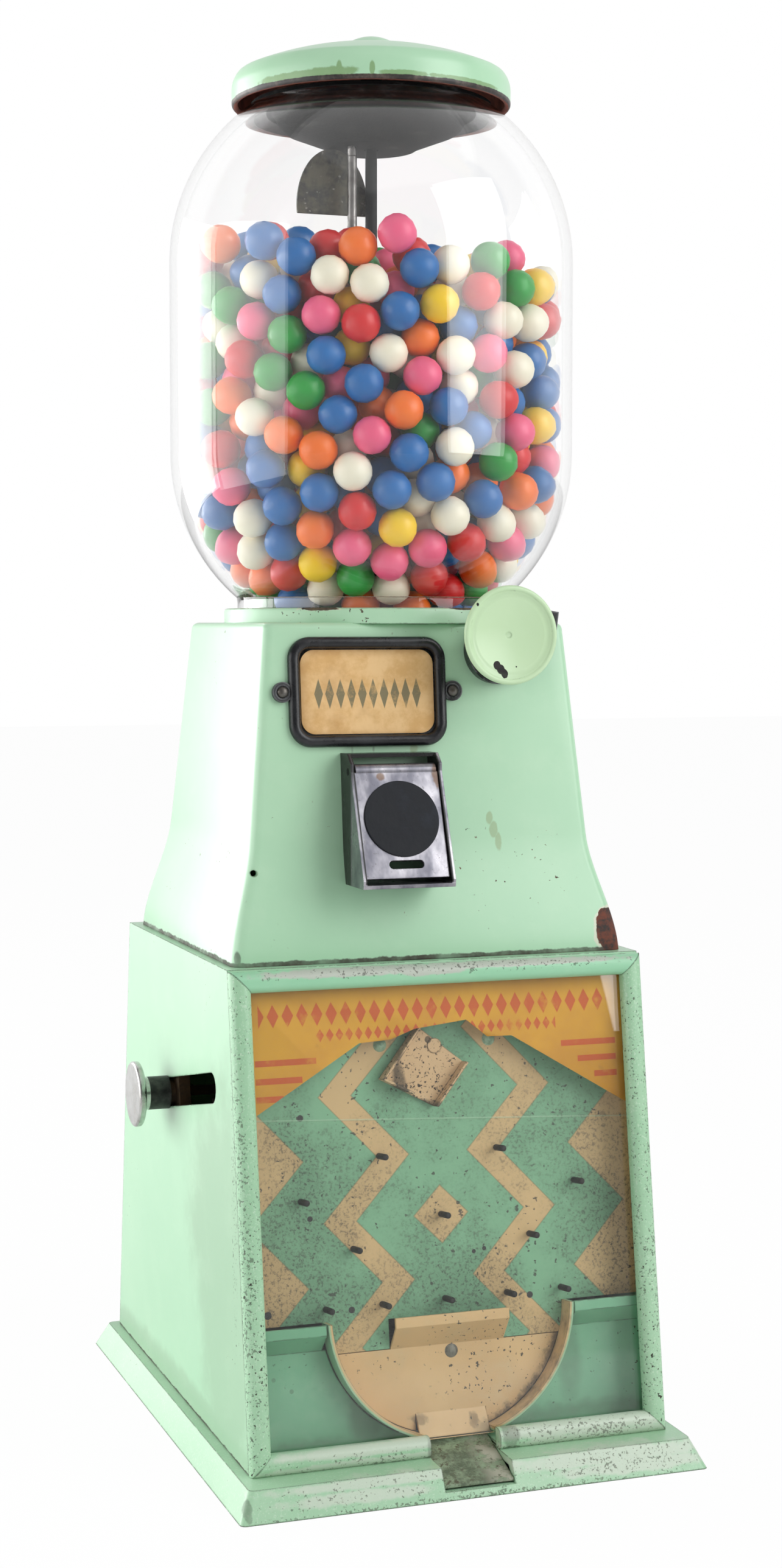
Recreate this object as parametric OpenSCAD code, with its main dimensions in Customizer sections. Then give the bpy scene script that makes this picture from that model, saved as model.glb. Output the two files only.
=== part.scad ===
// Counter-top penny machine: a glass globe of gumballs over a small pinned coin game.
// A penny goes in beside the push disc, drops into the swinging carrier behind the glass,
// and falls over the pins. The push disc also turns the pocket wheel that feeds one ball.
// Millimetres. +Z is up, the front faces -Y, the origin is the middle of the base plate's
// underside.

/* [Base] */
// Width of the base at the table
base_w = 193; // [188:1:220]
// Depth of the base at the table
base_d = 250; // [244:1:280]
// Height of the base casting
base_h = 11; // [9:0.5:18]
// How far the sloped band comes in on each side
band_in = 5; // [1:0.5:5]
// How far the sloped band comes in at front and back
band_in_d = 6.5; // [2:0.5:7]
// Corner radius of the base
base_r = 2.5; // [2:0.5:8]
// Wall of the base casting
base_wall = 3; // [2:0.5:5]
// Thickness of the base plate
plate_t = 1.5; // [1:0.5:3]
// Spacing of the counter bolts across the base
bolt_dx = 140; // [100:5:150]
// Spacing of the counter bolts front to back
bolt_dy = 190; // [120:5:200]
// Diameter of the counter bolt holes
bolt_hole_d = 6.6; // [4:0.2:9]

/* [Cabinet] */
// Width of the cabinet
cab_w = 174; // [170:1:178]
// Height of the cabinet
cab_h = 190.5; // [186:0.5:200]
// Front foot of the cabinet, ahead of the middle of the base
cab_front = 108; // [106:0.5:112]
// Back foot of the cabinet, behind the middle of the base
cab_back = 114.5; // [110:0.5:116]
// How far the front leans back over its height
front_run = 28; // [24:0.5:30]
// How far the back leans forward over its height
back_run = 26; // [18:0.5:28]
// Sheet thickness of the cabinet
sheet = 1.5; // [1:0.1:2.5]
// Width of the rolled front rails
rail_w = 8.5; // [8:0.5:11]
// Depth of the rolled front rails
rail_d = 5.5; // [5:0.5:8]
// Corner radius of the rolled rails
rail_r = 3.8; // [1.5:0.1:4]

/* [Playfield] */
// Thickness of the window glass
glass_t = 2.5; // [2:0.5:4]
// Space for the coin between glass and playfield
play_gap = 9; // [8:0.5:12]
// Thickness of the playfield and catcher sheets
field_t = 1.2; // [0.8:0.1:2]
// Diameter of the playfield pins
pin_d = 2.5; // [2:0.1:3.5]
// Spacing of the zigzag pin pattern
pin_pitch = 25; // [23:0.5:27]
// Height of the lowest pin row above the cabinet foot
pin_low = 59; // [58:0.5:64]

/* [Catch cup] */
// Outer radius of the catch cup
cup_r = 52; // [50:0.5:53]
// Height of the cup's centre above the cabinet foot
cup_mid = 56; // [56:0.5:58]
// Height of the catcher lips above the cabinet foot
lip_top = 54; // [52:0.5:55]
// Wall of the cup
cup_wall_t = 1.8; // [1.2:0.1:3]
// Half width of the middle catcher tab
tab_half = 24; // [18:0.5:30]
// Half width of the coin return notch
notch_half = 14.5; // [12:0.5:18]

/* [Coin carrier] */
// Height of the carrier pivot above the cabinet foot
pivot_h = 159.4; // [155:0.2:162]
// Width of the carrier tray
tray_w = 25.5; // [22:0.5:28]
// Length of the carrier tray below its pivot
tray_l = 22.5; // [20:0.5:26]
// Swing of the carrier to each side
swing = 39; // [30:1:42]
// Diameter of the carrier shaft
shaft_d = 6; // [5:0.5:7]
// Radius of the arm behind the playfield
arm_r = 33; // [30:0.5:34]

/* [Side handle] */
// Travel of the side handle along its slot
handle_travel = 72; // [60:1:74]
// Rise of the slot towards the front, in degrees
slot_rise = 11.5; // [8:0.5:13]
// Height of the slot in the side wall
slot_w = 12.2; // [11:0.2:14]
// Diameter of the knob
knob_d = 27.5; // [22:0.5:32]
// Thickness of the knob's disc
knob_t = 3.2; // [2:0.2:5]
// Reach of the knob from the side wall
knob_reach = 15.6; // [12:0.2:20]

/* [Upper housing] */
// Height of the upper housing
house_h = 134.5; // [130:0.5:140]
// Width across the top of the upper housing
house_w = 128.6; // [126:0.2:132]
// Depth across the top of the upper housing
house_d = 115.6; // [113:0.2:120]
// Distance of the globe axis behind the middle of the base
axis_y = 7; // [5:0.5:9]
// Side slope of the housing per millimetre of height
house_taper = 0.0935; // [0.08:0.0005:0.1]
// Width of the flared foot beyond the straight slope
flare_out = 6.2; // [4:0.2:7]
// Height over which the foot flares
flare_h = 46; // [35:1:50]
// Wall of the housing
house_wall = 2.5; // [2:0.25:4]
// Thickness of the housing's top
top_t = 2; // [1.5:0.25:2]
// Outer radius of the raised collar round the globe
collar_r = 62.6; // [60.5:0.2:63.4]
// Height of the raised collar
collar_h = 6; // [4:0.5:9]

/* [Name frame] */
// Width of the name frame
name_w = 66.4; // [60:0.4:72]
// Height of the name frame
name_h = 44; // [40:0.5:48]
// Border of the name frame
name_border = 5; // [3:0.5:7]
// Distance of the name frame left of the middle
name_x = 22.4; // [20:0.2:26]
// Distance of the name frame's middle below the housing's top
name_drop = 27.7; // [26:0.1:30]

/* [Delivery chute] */
// Width of the delivery hood
hood_w = 38.4; // [34:0.4:42]
// Distance of the hood left of the middle
hood_x = 15.4; // [14:0.2:17]
// Distance of the hood's top below the housing's top
hood_drop = 52; // [51:0.5:56]
// Height of the delivery hood
hood_h = 52; // [48:0.5:54]
// Reach of the hood's foot from the housing
hood_reach = 22; // [18:0.5:26]
// Opening angle of the flap
flap_open = 70; // [45:1:80]

/* [Push disc] */
// Diameter of the push disc
disc_d = 39.6; // [34:0.2:44]
// Distance of the push shaft right of the middle
push_x = 29.2; // [28.5:0.1:30]
// Distance of the push shaft below the housing's top
push_drop = 5; // [5:0.1:6]
// Diameter of the push shaft
push_d = 5; // [4:0.25:5.5]
// Reach of the push disc from the housing
disc_reach = 28.7; // [26:0.1:34]
// Diameter of the spring wire
wire_d = 0.8; // [0.5:0.1:1.1]
// Turns of the return spring
spring_turns = 7; // [5:1:8]

/* [Pocket wheel] */
// Diameter of a gumball
ball_d = 15.9; // [14:0.1:16.2]
// Number of pockets
pockets = 10; // [9:1:10]
// Radius of the pocket centres
pocket_pcr = 35.5; // [35:0.1:36]
// Radius of the pocket wheel
wheel_r = 43.5; // [43:0.1:44.2]
// Thickness of the pocket wheel
wheel_t = 14; // [12:0.5:14.5]
// Tip radius of the ratchet teeth
tooth_r = 20; // [19:0.25:20.5]
// Root radius of the ratchet teeth
root_r = 15; // [13:0.25:16]
// Wall of the hopper bowl
bowl_wall = 2; // [1.5:0.1:2.5]
// Diameter of the centre rod
rod_d = 5; // [4:0.2:6]

/* [Globe and lid] */
// Outer radius of the globe
globe_r = 85; // [83:0.5:87]
// Height of the globe's lower shoulder above the gasket
shoulder_rise = 69.5; // [66:0.5:73]
// Height of the globe's straight middle
globe_mid = 79; // [70:1:90]
// Radius of the globe's shoulders
shoulder_r = 80; // [79:0.5:81]
// Glass thickness of the globe
globe_t = 4; // [3:0.25:5]
// Outer radius of the globe's foot
foot_r = 57; // [56:0.25:57.5]
// Height of the globe from gasket to mouth
globe_h = 213.5; // [205:0.5:222]
// Outer radius of the lid
lid_r = 58.6; // [57:0.2:62]
// Height of the lid from rim to crown
lid_h = 24.5; // [22:0.5:28]
// Dome radius of the lid
dome_r = 142; // [120:2:180]
// Height of the boss above the lid's crown
boss_h = 4.8; // [3:0.2:7]
// Sheet thickness of the lid and its cup
lid_t = 1.2; // [0.8:0.1:1.6]
// Depth of the cup under the lid
lid_cup_h = 20; // [16:0.5:24]
// Height of the heap of gumballs in the globe
heap_h = 160; // [100:10:165]

/* [Back door and cash box] */
// Width of the back door
door_w = 124; // [110:1:130]
// Height of the back door
door_h = 150; // [130:1:155]
// Height of the door's foot above the cabinet foot
door_foot = 20; // [16:0.5:24]
// Height of the cash box
box_h = 46; // [30:1:60]

/* [Fits] */
// Gap between pieces that slide or swing past each other
gap = 0.3; // [0.2:0.05:0.4]
// Extra diameter of a bore over its running shaft
run = 0.1; // [0.06:0.02:0.2]

/* [Hidden] */
$fn = 64;
eps = 0.01;
far = 400;

cab_top = base_h + cab_h;
lean_front = atan(front_run / cab_h);
lean_back = atan(back_run / cab_h);
face_h = cab_h / cos(lean_front);
half_w = cab_w / 2;
inner_half = half_w - sheet;

glass_z = -rail_d;
field_z = glass_z - glass_t - play_gap;
lip_z = glass_z - glass_t - 2 * gap;

house_top = cab_top + house_h;
collar_top = house_top + collar_h;
gasket_t = 1.5;
globe_z = house_top + gasket_t;
mouth_z = globe_z + globe_h;
shoulder_low = globe_z + shoulder_rise;
shoulder_high = shoulder_low + globe_mid;
arc_x = globe_r - shoulder_r;

push_z = house_top - push_drop;
push_step = 2 * 180 / pockets;
push_travel = tooth_r * push_step * PI / 180;

// Frame of the leaning front: x across, y up the slope, z out of the machine
module on_front() {
    translate([0, -cab_front, base_h]) rotate([90 - lean_front, 0, 0]) children();
}

// The same for the leaning back
module on_back() {
    translate([0, cab_back, base_h]) rotate([0, 0, 180]) rotate([90 - lean_back, 0, 0])
        children();
}

// An outline in y and z, drawn out evenly across x
module across(width) {
    rotate([90, 0, 90]) translate([0, 0, -width / 2]) linear_extrude(width) children();
}

// An outline in x and z, drawn out from y1 back to y2
module along_y(y1, y2) {
    translate([0, y2, 0]) rotate([90, 0, 0]) linear_extrude(y2 - y1) children();
}

// A round bar along y
module rod_y(d, y1, y2) {
    translate([0, y2, 0]) rotate([90, 0, 0]) cylinder(d = d, h = y2 - y1);
}

// A round bar along x
module rod_x(d, x1, x2) {
    translate([x1, 0, 0]) rotate([0, 90, 0]) cylinder(d = d, h = x2 - x1);
}

// A rectangle with round corners, built from its middle
module round_rect(w, h, r) {
    square([w - 2 * r, h], center = true);
    square([w, h - 2 * r], center = true);
    for (x = [-1, 1], y = [-1, 1]) translate([x * (w / 2 - r), y * (h / 2 - r)]) circle(r);
}

// Base casting and its plate

module base_block(in, h) {
    hull() for (x = [-1, 1], y = [-1, 1]) {
        translate([x * (base_w / 2 - in - base_r), y * (base_d / 2 - in - base_r), 0])
            cylinder(r = base_r, h = eps, $fn = 32);
        translate([
            x * (base_w / 2 - band_in - in - base_r),
            y * (base_d / 2 - band_in_d - in - base_r), h - eps
        ]) cylinder(r = base_r, h = eps, $fn = 32);
    }
}

module notch_cut(z1, z2, extra) {
    translate([-notch_half - extra, -base_d / 2 - 5, z1])
        cube([2 * (notch_half + extra), base_d / 2 + 5 - ramp_back, z2 - z1]);
}
ramp_back = cab_front - 20;
sill_h = 3;

module base_skirt() {
    color("#a9d3b4") difference() {
        base_block(0, base_h);
        translate([0, 0, -eps]) base_block(base_wall, base_h - base_wall);
        translate([0, 0, base_h / 2])
            cube([cab_w - 16, cab_front + cab_back - 40, base_h + 1], center = true);
        notch_cut(sill_h, base_h + 1, 0);
    }
}

module base_plate() {
    rise = plate_t / (base_h - base_wall);
    plate_w = base_w - 2 * (base_wall + gap + band_in * rise);
    plate_d = base_d - 2 * (base_wall + gap + band_in_d * rise);
    color("#54565a") difference() {
        linear_extrude(plate_t) round_rect(plate_w, plate_d, base_r);
        for (x = [-1, 1], y = [-1, 1])
            translate([x * bolt_dx / 2, y * bolt_dy / 2, -1]) cylinder(d = bolt_hole_d, h = plate_t + 2);
    }
}

// Cabinet of folded sheet with four rolled front rails

back_off = rail_d / cos(lean_front);

function cab_side(front, back, low, high) =
    let (f = function(z) -cab_front + front_run * (z - base_h) / cab_h + front,
         b = function(z) cab_back - back_run * (z - base_h) / cab_h - back)
    [[f(low), low], [b(low), low], [b(high), high], [f(high), high]];

slot_y = 19.5;
slot_z = base_h + 126;

// Frame of the handle slot: y runs back along the slot, z across it
module on_slot() {
    translate([0, slot_y, slot_z]) rotate([-slot_rise, 0, 0]) children();
}

module slot_shape(w, length) {
    translate([-half_w - 1, 0, 0]) rod_x(w, 0, sheet + 2);
    translate([-half_w - 1, -length, 0]) rod_x(w, 0, sheet + 2);
    translate([-half_w - 1, -length, -w / 2]) cube([sheet + 2, length, w]);
}

module cabinet_shell() {
    color("#b4dcbf") difference() {
        across(cab_w) polygon(cab_side(back_off, 0, base_h, cab_top));
        across(cab_w - 2 * sheet)
            polygon(cab_side(-1, sheet / cos(lean_back), base_h + sheet, cab_top - sheet));
        on_back() translate([-door_w / 2, door_foot, -sheet - 2])
            cube([door_w, door_h, sheet + 4]);
        translate([-60, house_front(cab_top) + 6, cab_top - sheet - 1])
            cube([120, 122, sheet + 2]);
        translate([chute_top_cut[0], house_front(cab_top) - 0.5, cab_top - sheet - 1])
            cube([chute_top_cut[1] - chute_top_cut[0], 10, sheet + 2]);
        notch_cut(base_h - 1, base_h + sheet + 1, 0.5);
        on_slot() slot_shape(slot_w, handle_travel);
    }
}

module rail_outline() {
    translate([0, -rail_d]) square([rail_w, rail_d - rail_r]);
    translate([rail_r, -rail_d]) square([rail_w - 2 * rail_r, rail_d]);
    for (x = [rail_r, rail_w - rail_r]) translate([x, -rail_r]) circle(rail_r);
}

// One rail of the given length along y, its outer edge on x = 0, mitred at both ends
module mitred_rail(length) {
    intersection() {
        translate([0, length, 0]) rotate([90, 0, 0]) linear_extrude(length) rail_outline();
        translate([0, 0, -rail_d]) linear_extrude(rail_d)
            polygon([[0, 0], [rail_w, rail_w], [rail_w, length - rail_w], [0, length]]);
    }
}

module left_stile() {
    color("#a5d0b0") on_front() translate([-half_w, 0, 0]) mitred_rail(face_h);
}

module right_stile() {
    color("#a5d0b0") on_front() mirror([1, 0, 0]) translate([-half_w, 0, 0]) mitred_rail(face_h);
}

module top_rail() {
    color("#a5d0b0") on_front() translate([-half_w, face_h, 0]) rotate([0, 0, -90])
        mitred_rail(cab_w);
}

module bottom_rail() {
    color("#a5d0b0") difference() {
        on_front() translate([-half_w, 0, 0]) rotate([0, 0, -90]) mirror([1, 0, 0])
            mitred_rail(cab_w);
        notch_cut(base_h - 1, base_h + 2 * rail_w, 0);
        translate([-far / 2, -far / 2, base_h - 10]) cube([far, far, 10]);
    }
}

window_low = 6.5;
window_high = face_h - 3;

module game_window() {
    color("#d7e6ea") on_front() translate([-inner_half + gap, window_low, glass_z - glass_t])
        cube([2 * (inner_half - gap), window_high - window_low, glass_t]);
}

card_t = 0.3;

module instruction_card() {
    card_half = inner_half - 4;
    color("#cf9a3c") on_front() translate([0, 0, glass_z - glass_t - card_t])
        linear_extrude(card_t) polygon([
            [-card_half, window_high - 2], [-card_half, 134], [-34, 162.3], [-21, 163],
            [-10.6, 166.7], [11.5, 169.2], [20.2, 162], [30.7, 161.9], [card_half, 131],
            [card_half, window_high - 2]
        ]);
}

// Playfield with its pins, cup and catchers

field_half = inner_half - gap;
seam_h = 41.4;

module field_outline() {
    difference() {
        translate([-field_half, seam_h]) square([2 * field_half, window_high - seam_h]);
        translate([-tab_half - gap, seam_h - 1]) square([2 * (tab_half + gap), lip_top - seam_h]);
        translate([chute_top_cut[0], face_h - rail_w + 0.5])
            square([chute_top_cut[1] - chute_top_cut[0], rail_w]);
        for (s = [-1, 1]) translate([s * (cup_r + 58), lip_top - 30]) square([120, 60], center = true);
    }
}

module playfield() {
    color("#7fb48f") on_front() difference() {
        union() {
            translate([0, 0, field_z - field_t]) linear_extrude(field_t) field_outline();
            for (s = [-1, 1]) translate([
                s * (field_half - field_t / 2), (window_high + lip_top) / 2, field_z + play_gap / 2
            ]) cube([field_t, window_high - lip_top, play_gap], center = true);
        }
        translate([0, pivot_h, field_z - field_t - 1]) cylinder(d = shaft_d + run, h = field_t + 2);
    }
}

// Pins stand where the zigzag bands turn
pin_rows = [
    [0, [-2, 0, 2]], [0, [-1.06, 1.06]], [0.9, [-1.5, 1.5]], [1.33, [0]],
    [1.7, [-2.33, 2.33]], [2.32, [-1, 1]]
];

module playfield_pins() {
    color("#2a2a2a") on_front() for (row = pin_rows, x = row[1])
        translate([x * pin_pitch, pin_low + row[0] * pin_pitch, field_z])
            cylinder(d = pin_d, h = play_gap - 2 * gap, $fn = 24);
}

screw_d = 5.5;
screw_h = 1.5;

// A low domed screw head standing on z = 0
module domed_head(d, h) {
    r = (d * d / 4 + h * h) / (2 * h);
    rotate_extrude() intersection() {
        translate([0, h - r]) circle(r);
        square([d, h]);
    }
}

module playfield_screws() {
    color("#d9d4c4") on_front() {
        for (x = [-22.5, 24]) translate([x, pivot_h + 1.4, field_z]) domed_head(screw_d, screw_h);
        translate([1.5, 38.2, field_z]) domed_head(screw_d, 0.8);
    }
}

cup_depth = play_gap - 2 * gap;
mouth_half = notch_half + 0.5;

module cup_wall() {
    color("#c3ad84") on_front() translate([0, cup_mid, field_z]) difference() {
        cylinder(r = cup_r, h = cup_depth, $fn = 128);
        translate([0, 0, -1]) cylinder(r = cup_r - cup_wall_t, h = cup_depth + 2, $fn = 128);
        translate([-far / 2, lip_top - cup_mid, -1]) cube([far, far, cup_depth + 2]);
        translate([-mouth_half, -far, -1]) cube([2 * mouth_half, far, cup_depth + 2]);
    }
}

crease_h = 15;
slit_h = 6;
lip_foot = 50;
seam = 0.3;

// Side view of a catcher lip: it leans out over the coin path and ends in a straight lip
function lip_side(foot) = [
    [foot, field_z], [lip_foot, lip_z - 0.4], [lip_top, lip_z - 0.4],
    [lip_top, lip_z - 0.4 - field_t], [lip_foot, lip_z - 0.4 - field_t],
    [foot, field_z - field_t]
];

// Draws a side view given as height and depth, from x1 to x2
module leaf(x1, x2, points) {
    translate([x1, 0, 0]) rotate([90, 0, 90]) linear_extrude(x2 - x1) polygon(points);
}

module catch_plate() {
    inner_r = cup_r - cup_wall_t - gap;
    color("#dcbf92") on_front() {
        translate([0, 0, field_z - field_t]) linear_extrude(field_t) difference() {
            intersection() {
                translate([0, cup_mid]) circle(inner_r, $fn = 128);
                translate([-far / 2, 0]) square([far, seam_h - seam]);
            }
            translate([-mouth_half, -1]) square([2 * mouth_half, crease_h + 1]);
            translate([-far / 2, -1]) square([far, slit_h + 3]);
        }
        leaf(-tab_half, tab_half, lip_side(seam_h - seam));
        leaf(-mouth_half + gap, mouth_half - gap, [
            [crease_h, field_z], [slit_h, field_z + 4.5], [slit_h, field_z + 4.5 - field_t],
            [crease_h, field_z - field_t]
        ]);
    }
}

cover_foot = 5;

module pocket_cover() {
    edge = cup_r + gap + 0.1;
    color("#86b894") on_front() {
        translate([0, 0, field_z - field_t]) linear_extrude(field_t) difference() {
            translate([mouth_half + 3, cover_foot])
                square([field_half - mouth_half - 3, seam_h + 2 - cover_foot]);
            translate([0, cup_mid]) circle(edge, $fn = 128);
        }
        leaf(edge, field_half, lip_side(seam_h + 2));
    }
}

module right_pocket_cover() {
    pocket_cover();
}

module left_pocket_cover() {
    mirror([1, 0, 0]) pocket_cover();
}

ramp_w = 2 * notch_half - 2 * gap;
ramp_low_y = -base_d / 2 + 3.5;

// Floor of the coin return, from under the cup out through the notch
module return_ramp() {
    back_z = base_h + 4;
    front_z = sill_h + 0.8;
    color("#8d9a86") {
        across(ramp_w) polygon([
            [-ramp_back - gap, back_z], [ramp_low_y, front_z + 1.2], [ramp_low_y, front_z],
            [-ramp_back - gap, back_z - 1.2]
        ]);
        across(ramp_w) polygon([
            [-ramp_back - gap, back_z], [-ramp_back - gap, plate_t],
            [-ramp_back - gap - 1.2, plate_t], [-ramp_back - gap - 1.2, back_z]
        ]);
    }
}

// Back edge of the catchers at a height, for what lies behind them
function behind_field(z) =
    -cab_front + (z - base_h) * tan(lean_front) + (field_t - field_z) / cos(lean_front) + gap;

apron_z = base_h + 18;

module coin_apron() {
    y0 = behind_field(apron_z);
    y1 = y0 + 16;
    color("#8f9296") across(2 * field_half) polygon([
        [y0, apron_z], [y1, apron_z - 7], [y1, apron_z - 8], [y0, apron_z - 1]
    ]);
}

box_front = behind_field(base_h + sheet) + 12;
box_back = cab_back - 24;

module cash_box() {
    w = 2 * inner_half - 16;
    d = box_back - box_front;
    low = base_h + sheet;
    color("#9a9da1") difference() {
        translate([-w / 2, box_front, low]) cube([w, d, box_h]);
        translate([-w / 2 + 1, box_front + 1, low + 1]) cube([w - 2, d - 2, box_h]);
        translate([-w / 2 - 1, box_front - 1, low + 8]) cube([w + 2, 8, box_h]);
    }
}

// Coin carrier on its shaft, and the arm behind the playfield

module on_pivot() {
    on_front() translate([0, pivot_h, 0]) rotate([0, 0, -swing]) children();
}

tray_z = field_z + 0.7;
tray_t = 1;
flange_h = 5;
bush_h = 2.8;

module coin_carrier() {
    x0 = -tray_w / 2 + 1.7;
    x1 = tray_w / 2 + 1.7;
    y0 = -tray_l - 2;
    y1 = -tray_l + 3;
    xm = x0 + tray_w * 0.55;
    ym = y0 + (y1 - y0) * 0.55;
    color("#dcc096") on_pivot() {
        translate([0, 0, tray_z]) linear_extrude(tray_t) polygon([[x0, 2], [x0, y0], [x1, y1], [x1, 2]]);
        translate([0, 0, tray_z + tray_t]) linear_extrude(flange_h) {
            polygon([
                [x0, 2], [x0, y0], [xm, ym], [xm, ym + tray_t], [x0 + tray_t, y0 + tray_t + 0.2],
                [x0 + tray_t, 2]
            ]);
            polygon([[x1, 2], [x1, y1], [x1 - tray_t, y1 - 0.2], [x1 - tray_t, 2]]);
        }
        translate([0, 0, field_z - field_t - bush_h - 4]) cylinder(d = shaft_d, h = field_t + bush_h + 4 + 2);
    }
}

module carrier_bush() {
    color("#b08d4a") on_front() translate([0, pivot_h, field_z - field_t - bush_h]) difference() {
        cylinder(d = shaft_d + 5, h = bush_h);
        translate([0, 0, -1]) cylinder(d = shaft_d + run, h = bush_h + 2);
    }
}

arm_pin_d = 4;

module carrier_arm() {
    z = field_z - field_t - bush_h - gap;
    color("#6f7276") on_pivot() {
        difference() {
            translate([0, 0, z - 1.6]) linear_extrude(1.6) {
                translate([-4.5, -arm_r]) square([9, arm_r]);
                circle(6);
                translate([0, -arm_r]) circle(4.5);
            }
            translate([0, 0, z - 3]) cylinder(d = shaft_d + 0.04, h = 6);
        }
        translate([0, -arm_r, z - 18]) cylinder(d = arm_pin_d, h = 17);
    }
}

// Side handle, the track it slides in and the bell crank that swings the arm

track_d = 6;
slider_h = 18;

module handle_track() {
    length = handle_travel + 34;
    color("#6f6a60") on_slot() translate([-inner_half, -handle_travel / 2, 0]) difference() {
        translate([0, -length / 2, -slider_h / 2 - 5]) cube([track_d, length, slider_h + 10]);
        translate([-1, -length / 2 + 5, -slider_h / 2 - gap])
            cube([track_d + 2, length - 10, slider_h + 2 * gap]);
    }
}

neck_d = 14;

module handle_knob() {
    x0 = -half_w - knob_reach;
    color("#cfcfca") on_slot() {
        translate([x0, 0, 0]) rotate([0, 90, 0]) rotate_extrude() {
            square([knob_d / 2 - 1, knob_t]);
            translate([0, 1]) square([knob_d / 2, knob_t - 2]);
            for (z = [1, knob_t - 1]) translate([knob_d / 2 - 1, z]) circle(1, $fn = 24);
        }
        rod_x(neck_d, x0 + knob_t, -half_w - gap);
    }
}

crank_x = 64;
finger_low = -2;

module handle_slider() {
    color("#7a6a55") on_slot() {
        rod_x(slot_w - 1.2, -half_w - gap, -inner_half + 0.5 + eps);
        translate([-inner_half + 0.5, -11, -slider_h / 2]) cube([track_d - 1, 22, slider_h]);
        translate([-inner_half + track_d - 1, -3, finger_low])
            cube([inner_half - track_d + 1 - crank_x + 3, 6, 4]);
        translate([-crank_x, 0, finger_low - 6]) cylinder(d = arm_pin_d, h = 6 + eps);
    }
}

crank_angle = atan(handle_travel / 2 / crank_x);
crank_arm = arm_r * sin(swing) / sin(crank_angle);
crank_z = -6;
crank_t = 2;
stud_d = 6;

// Frame of the bell crank's stud, half way along the slot
module on_stud() {
    on_slot() translate([0, -handle_travel / 2, 0]) children();
}

module cross_bar() {
    color("#75787c") on_stud() {
        translate([track_d - inner_half, -8, crank_z - 6]) cube([2 * inner_half - track_d, 16, 3]);
        translate([0, 0, crank_z - 3]) cylinder(d = stud_d, h = 6);
        translate([0, 0, crank_z + 3]) cylinder(d = stud_d + 5, h = 1.5);
    }
}

fork_play = 1.4;

module bell_crank() {
    fork_in = crank_x - 4;
    fork_out = crank_x / cos(crank_angle) + 2.6;
    color("#5f6266") on_stud() rotate([0, 0, -crank_angle]) difference() {
        union() {
            translate([-fork_out, -6, crank_z]) cube([fork_out, 12, crank_t]);
            translate([-6, -crank_arm, crank_z]) cube([12, crank_arm, crank_t]);
            translate([0, 0, crank_z - 3 + gap]) cylinder(d = stud_d + 6, h = 6 - 2 * gap);
            translate([-7, -crank_arm - 3, crank_z]) cube([14, 6, crank_t]);
            for (s = [-1, 1]) translate([s * 5, -crank_arm, crank_z - 19])
                cylinder(d = 3, h = 19 + eps, $fn = 32);
        }
        translate([-fork_out - 1, -arm_pin_d / 2 - fork_play, crank_z - 1])
            cube([fork_out + 1 - fork_in + 1.6, arm_pin_d + 2 * fork_play, crank_t + 2]);
        translate([0, 0, crank_z - 5]) cylinder(d = stud_d + run, h = 12);
    }
}

// Upper housing with its flared foot

function flare(z) =
    let (t = min(1, max(0, (cab_top + 2 + flare_h - z) / flare_h)))
    flare_out * t * t * (3 - 2 * t);

// How far the wall stands out beyond the top edge, at a height
function wall_out(z) = house_taper * (house_top - z) + flare(z);

function house_front(z) = axis_y - house_d / 2 - wall_out(z);
function house_half(z) = house_w / 2 + wall_out(z);

flare_steps = 14;
house_levels = concat(
    [cab_top], [for (i = [0:flare_steps]) cab_top + 2 + flare_h * i / flare_steps], [house_top]
);

// Half outline of a side, set in by a wall and cut at the given heights
function house_side(mid, half, in, low, high) = concat(
    [for (z = house_levels) [mid + half + wall_out(z) - in, min(high, max(low, z))]],
    [for (i = [len(house_levels) - 1:-1:0])
        let (z = house_levels[i]) [mid - half - wall_out(z) + in, min(high, max(low, z))]]
);

module house_body(in, low, high) {
    intersection() {
        across(far) polygon(house_side(axis_y, house_d / 2, in, low, high));
        along_y(-far / 2, far / 2) polygon(house_side(0, house_w / 2, in, low, high));
    }
}

bowl_r = wheel_r + 1.1;
bowl_out = bowl_r + bowl_wall;
drop_w = 32;
coin_x = 45.5;
coin_slot_l = 20.6;
coin_slot_w = 2.2;

module upper_housing() {
    color("#b4dcbf") difference() {
        union() {
            difference() {
                house_body(0, cab_top, house_top);
                house_body(house_wall, cab_top - 1, house_top - top_t);
            }
            translate([0, axis_y, house_top]) cylinder(r = collar_r, h = collar_h, $fn = 128);
        }
        translate([0, axis_y, house_top]) cylinder(r = foot_r + gap, h = collar_h + 1, $fn = 128);
        translate([0, axis_y, house_top - top_t - 1]) cylinder(r = bowl_out + 0.1, h = top_t + 2, $fn = 128);
        translate([-hood_x - drop_w / 2, -far / 2, hood_top - 40]) cube([drop_w, far / 2 - 20, 30]);
        translate([push_x, 0, push_z]) rod_y(push_d + 2, -far / 2, -30);
        translate([coin_x - coin_slot_l / 2, -far / 2, coin_drop_z - 15])
            cube([coin_slot_l, far / 2 - 30, 15]);
        translate([-72, 0, cab_top + 35.5]) rod_y(2.6, -far / 2, -30);
    }
}

// Frame of the housing's straight front: x across, y up the slope, z outwards
module on_house(x, z) {
    translate([x, house_front(z), z]) rotate([90 - atan(house_taper), 0, 0]) children();
}

name_z = house_top - name_drop;
ear_x = name_w / 2 + 2.7;

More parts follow.
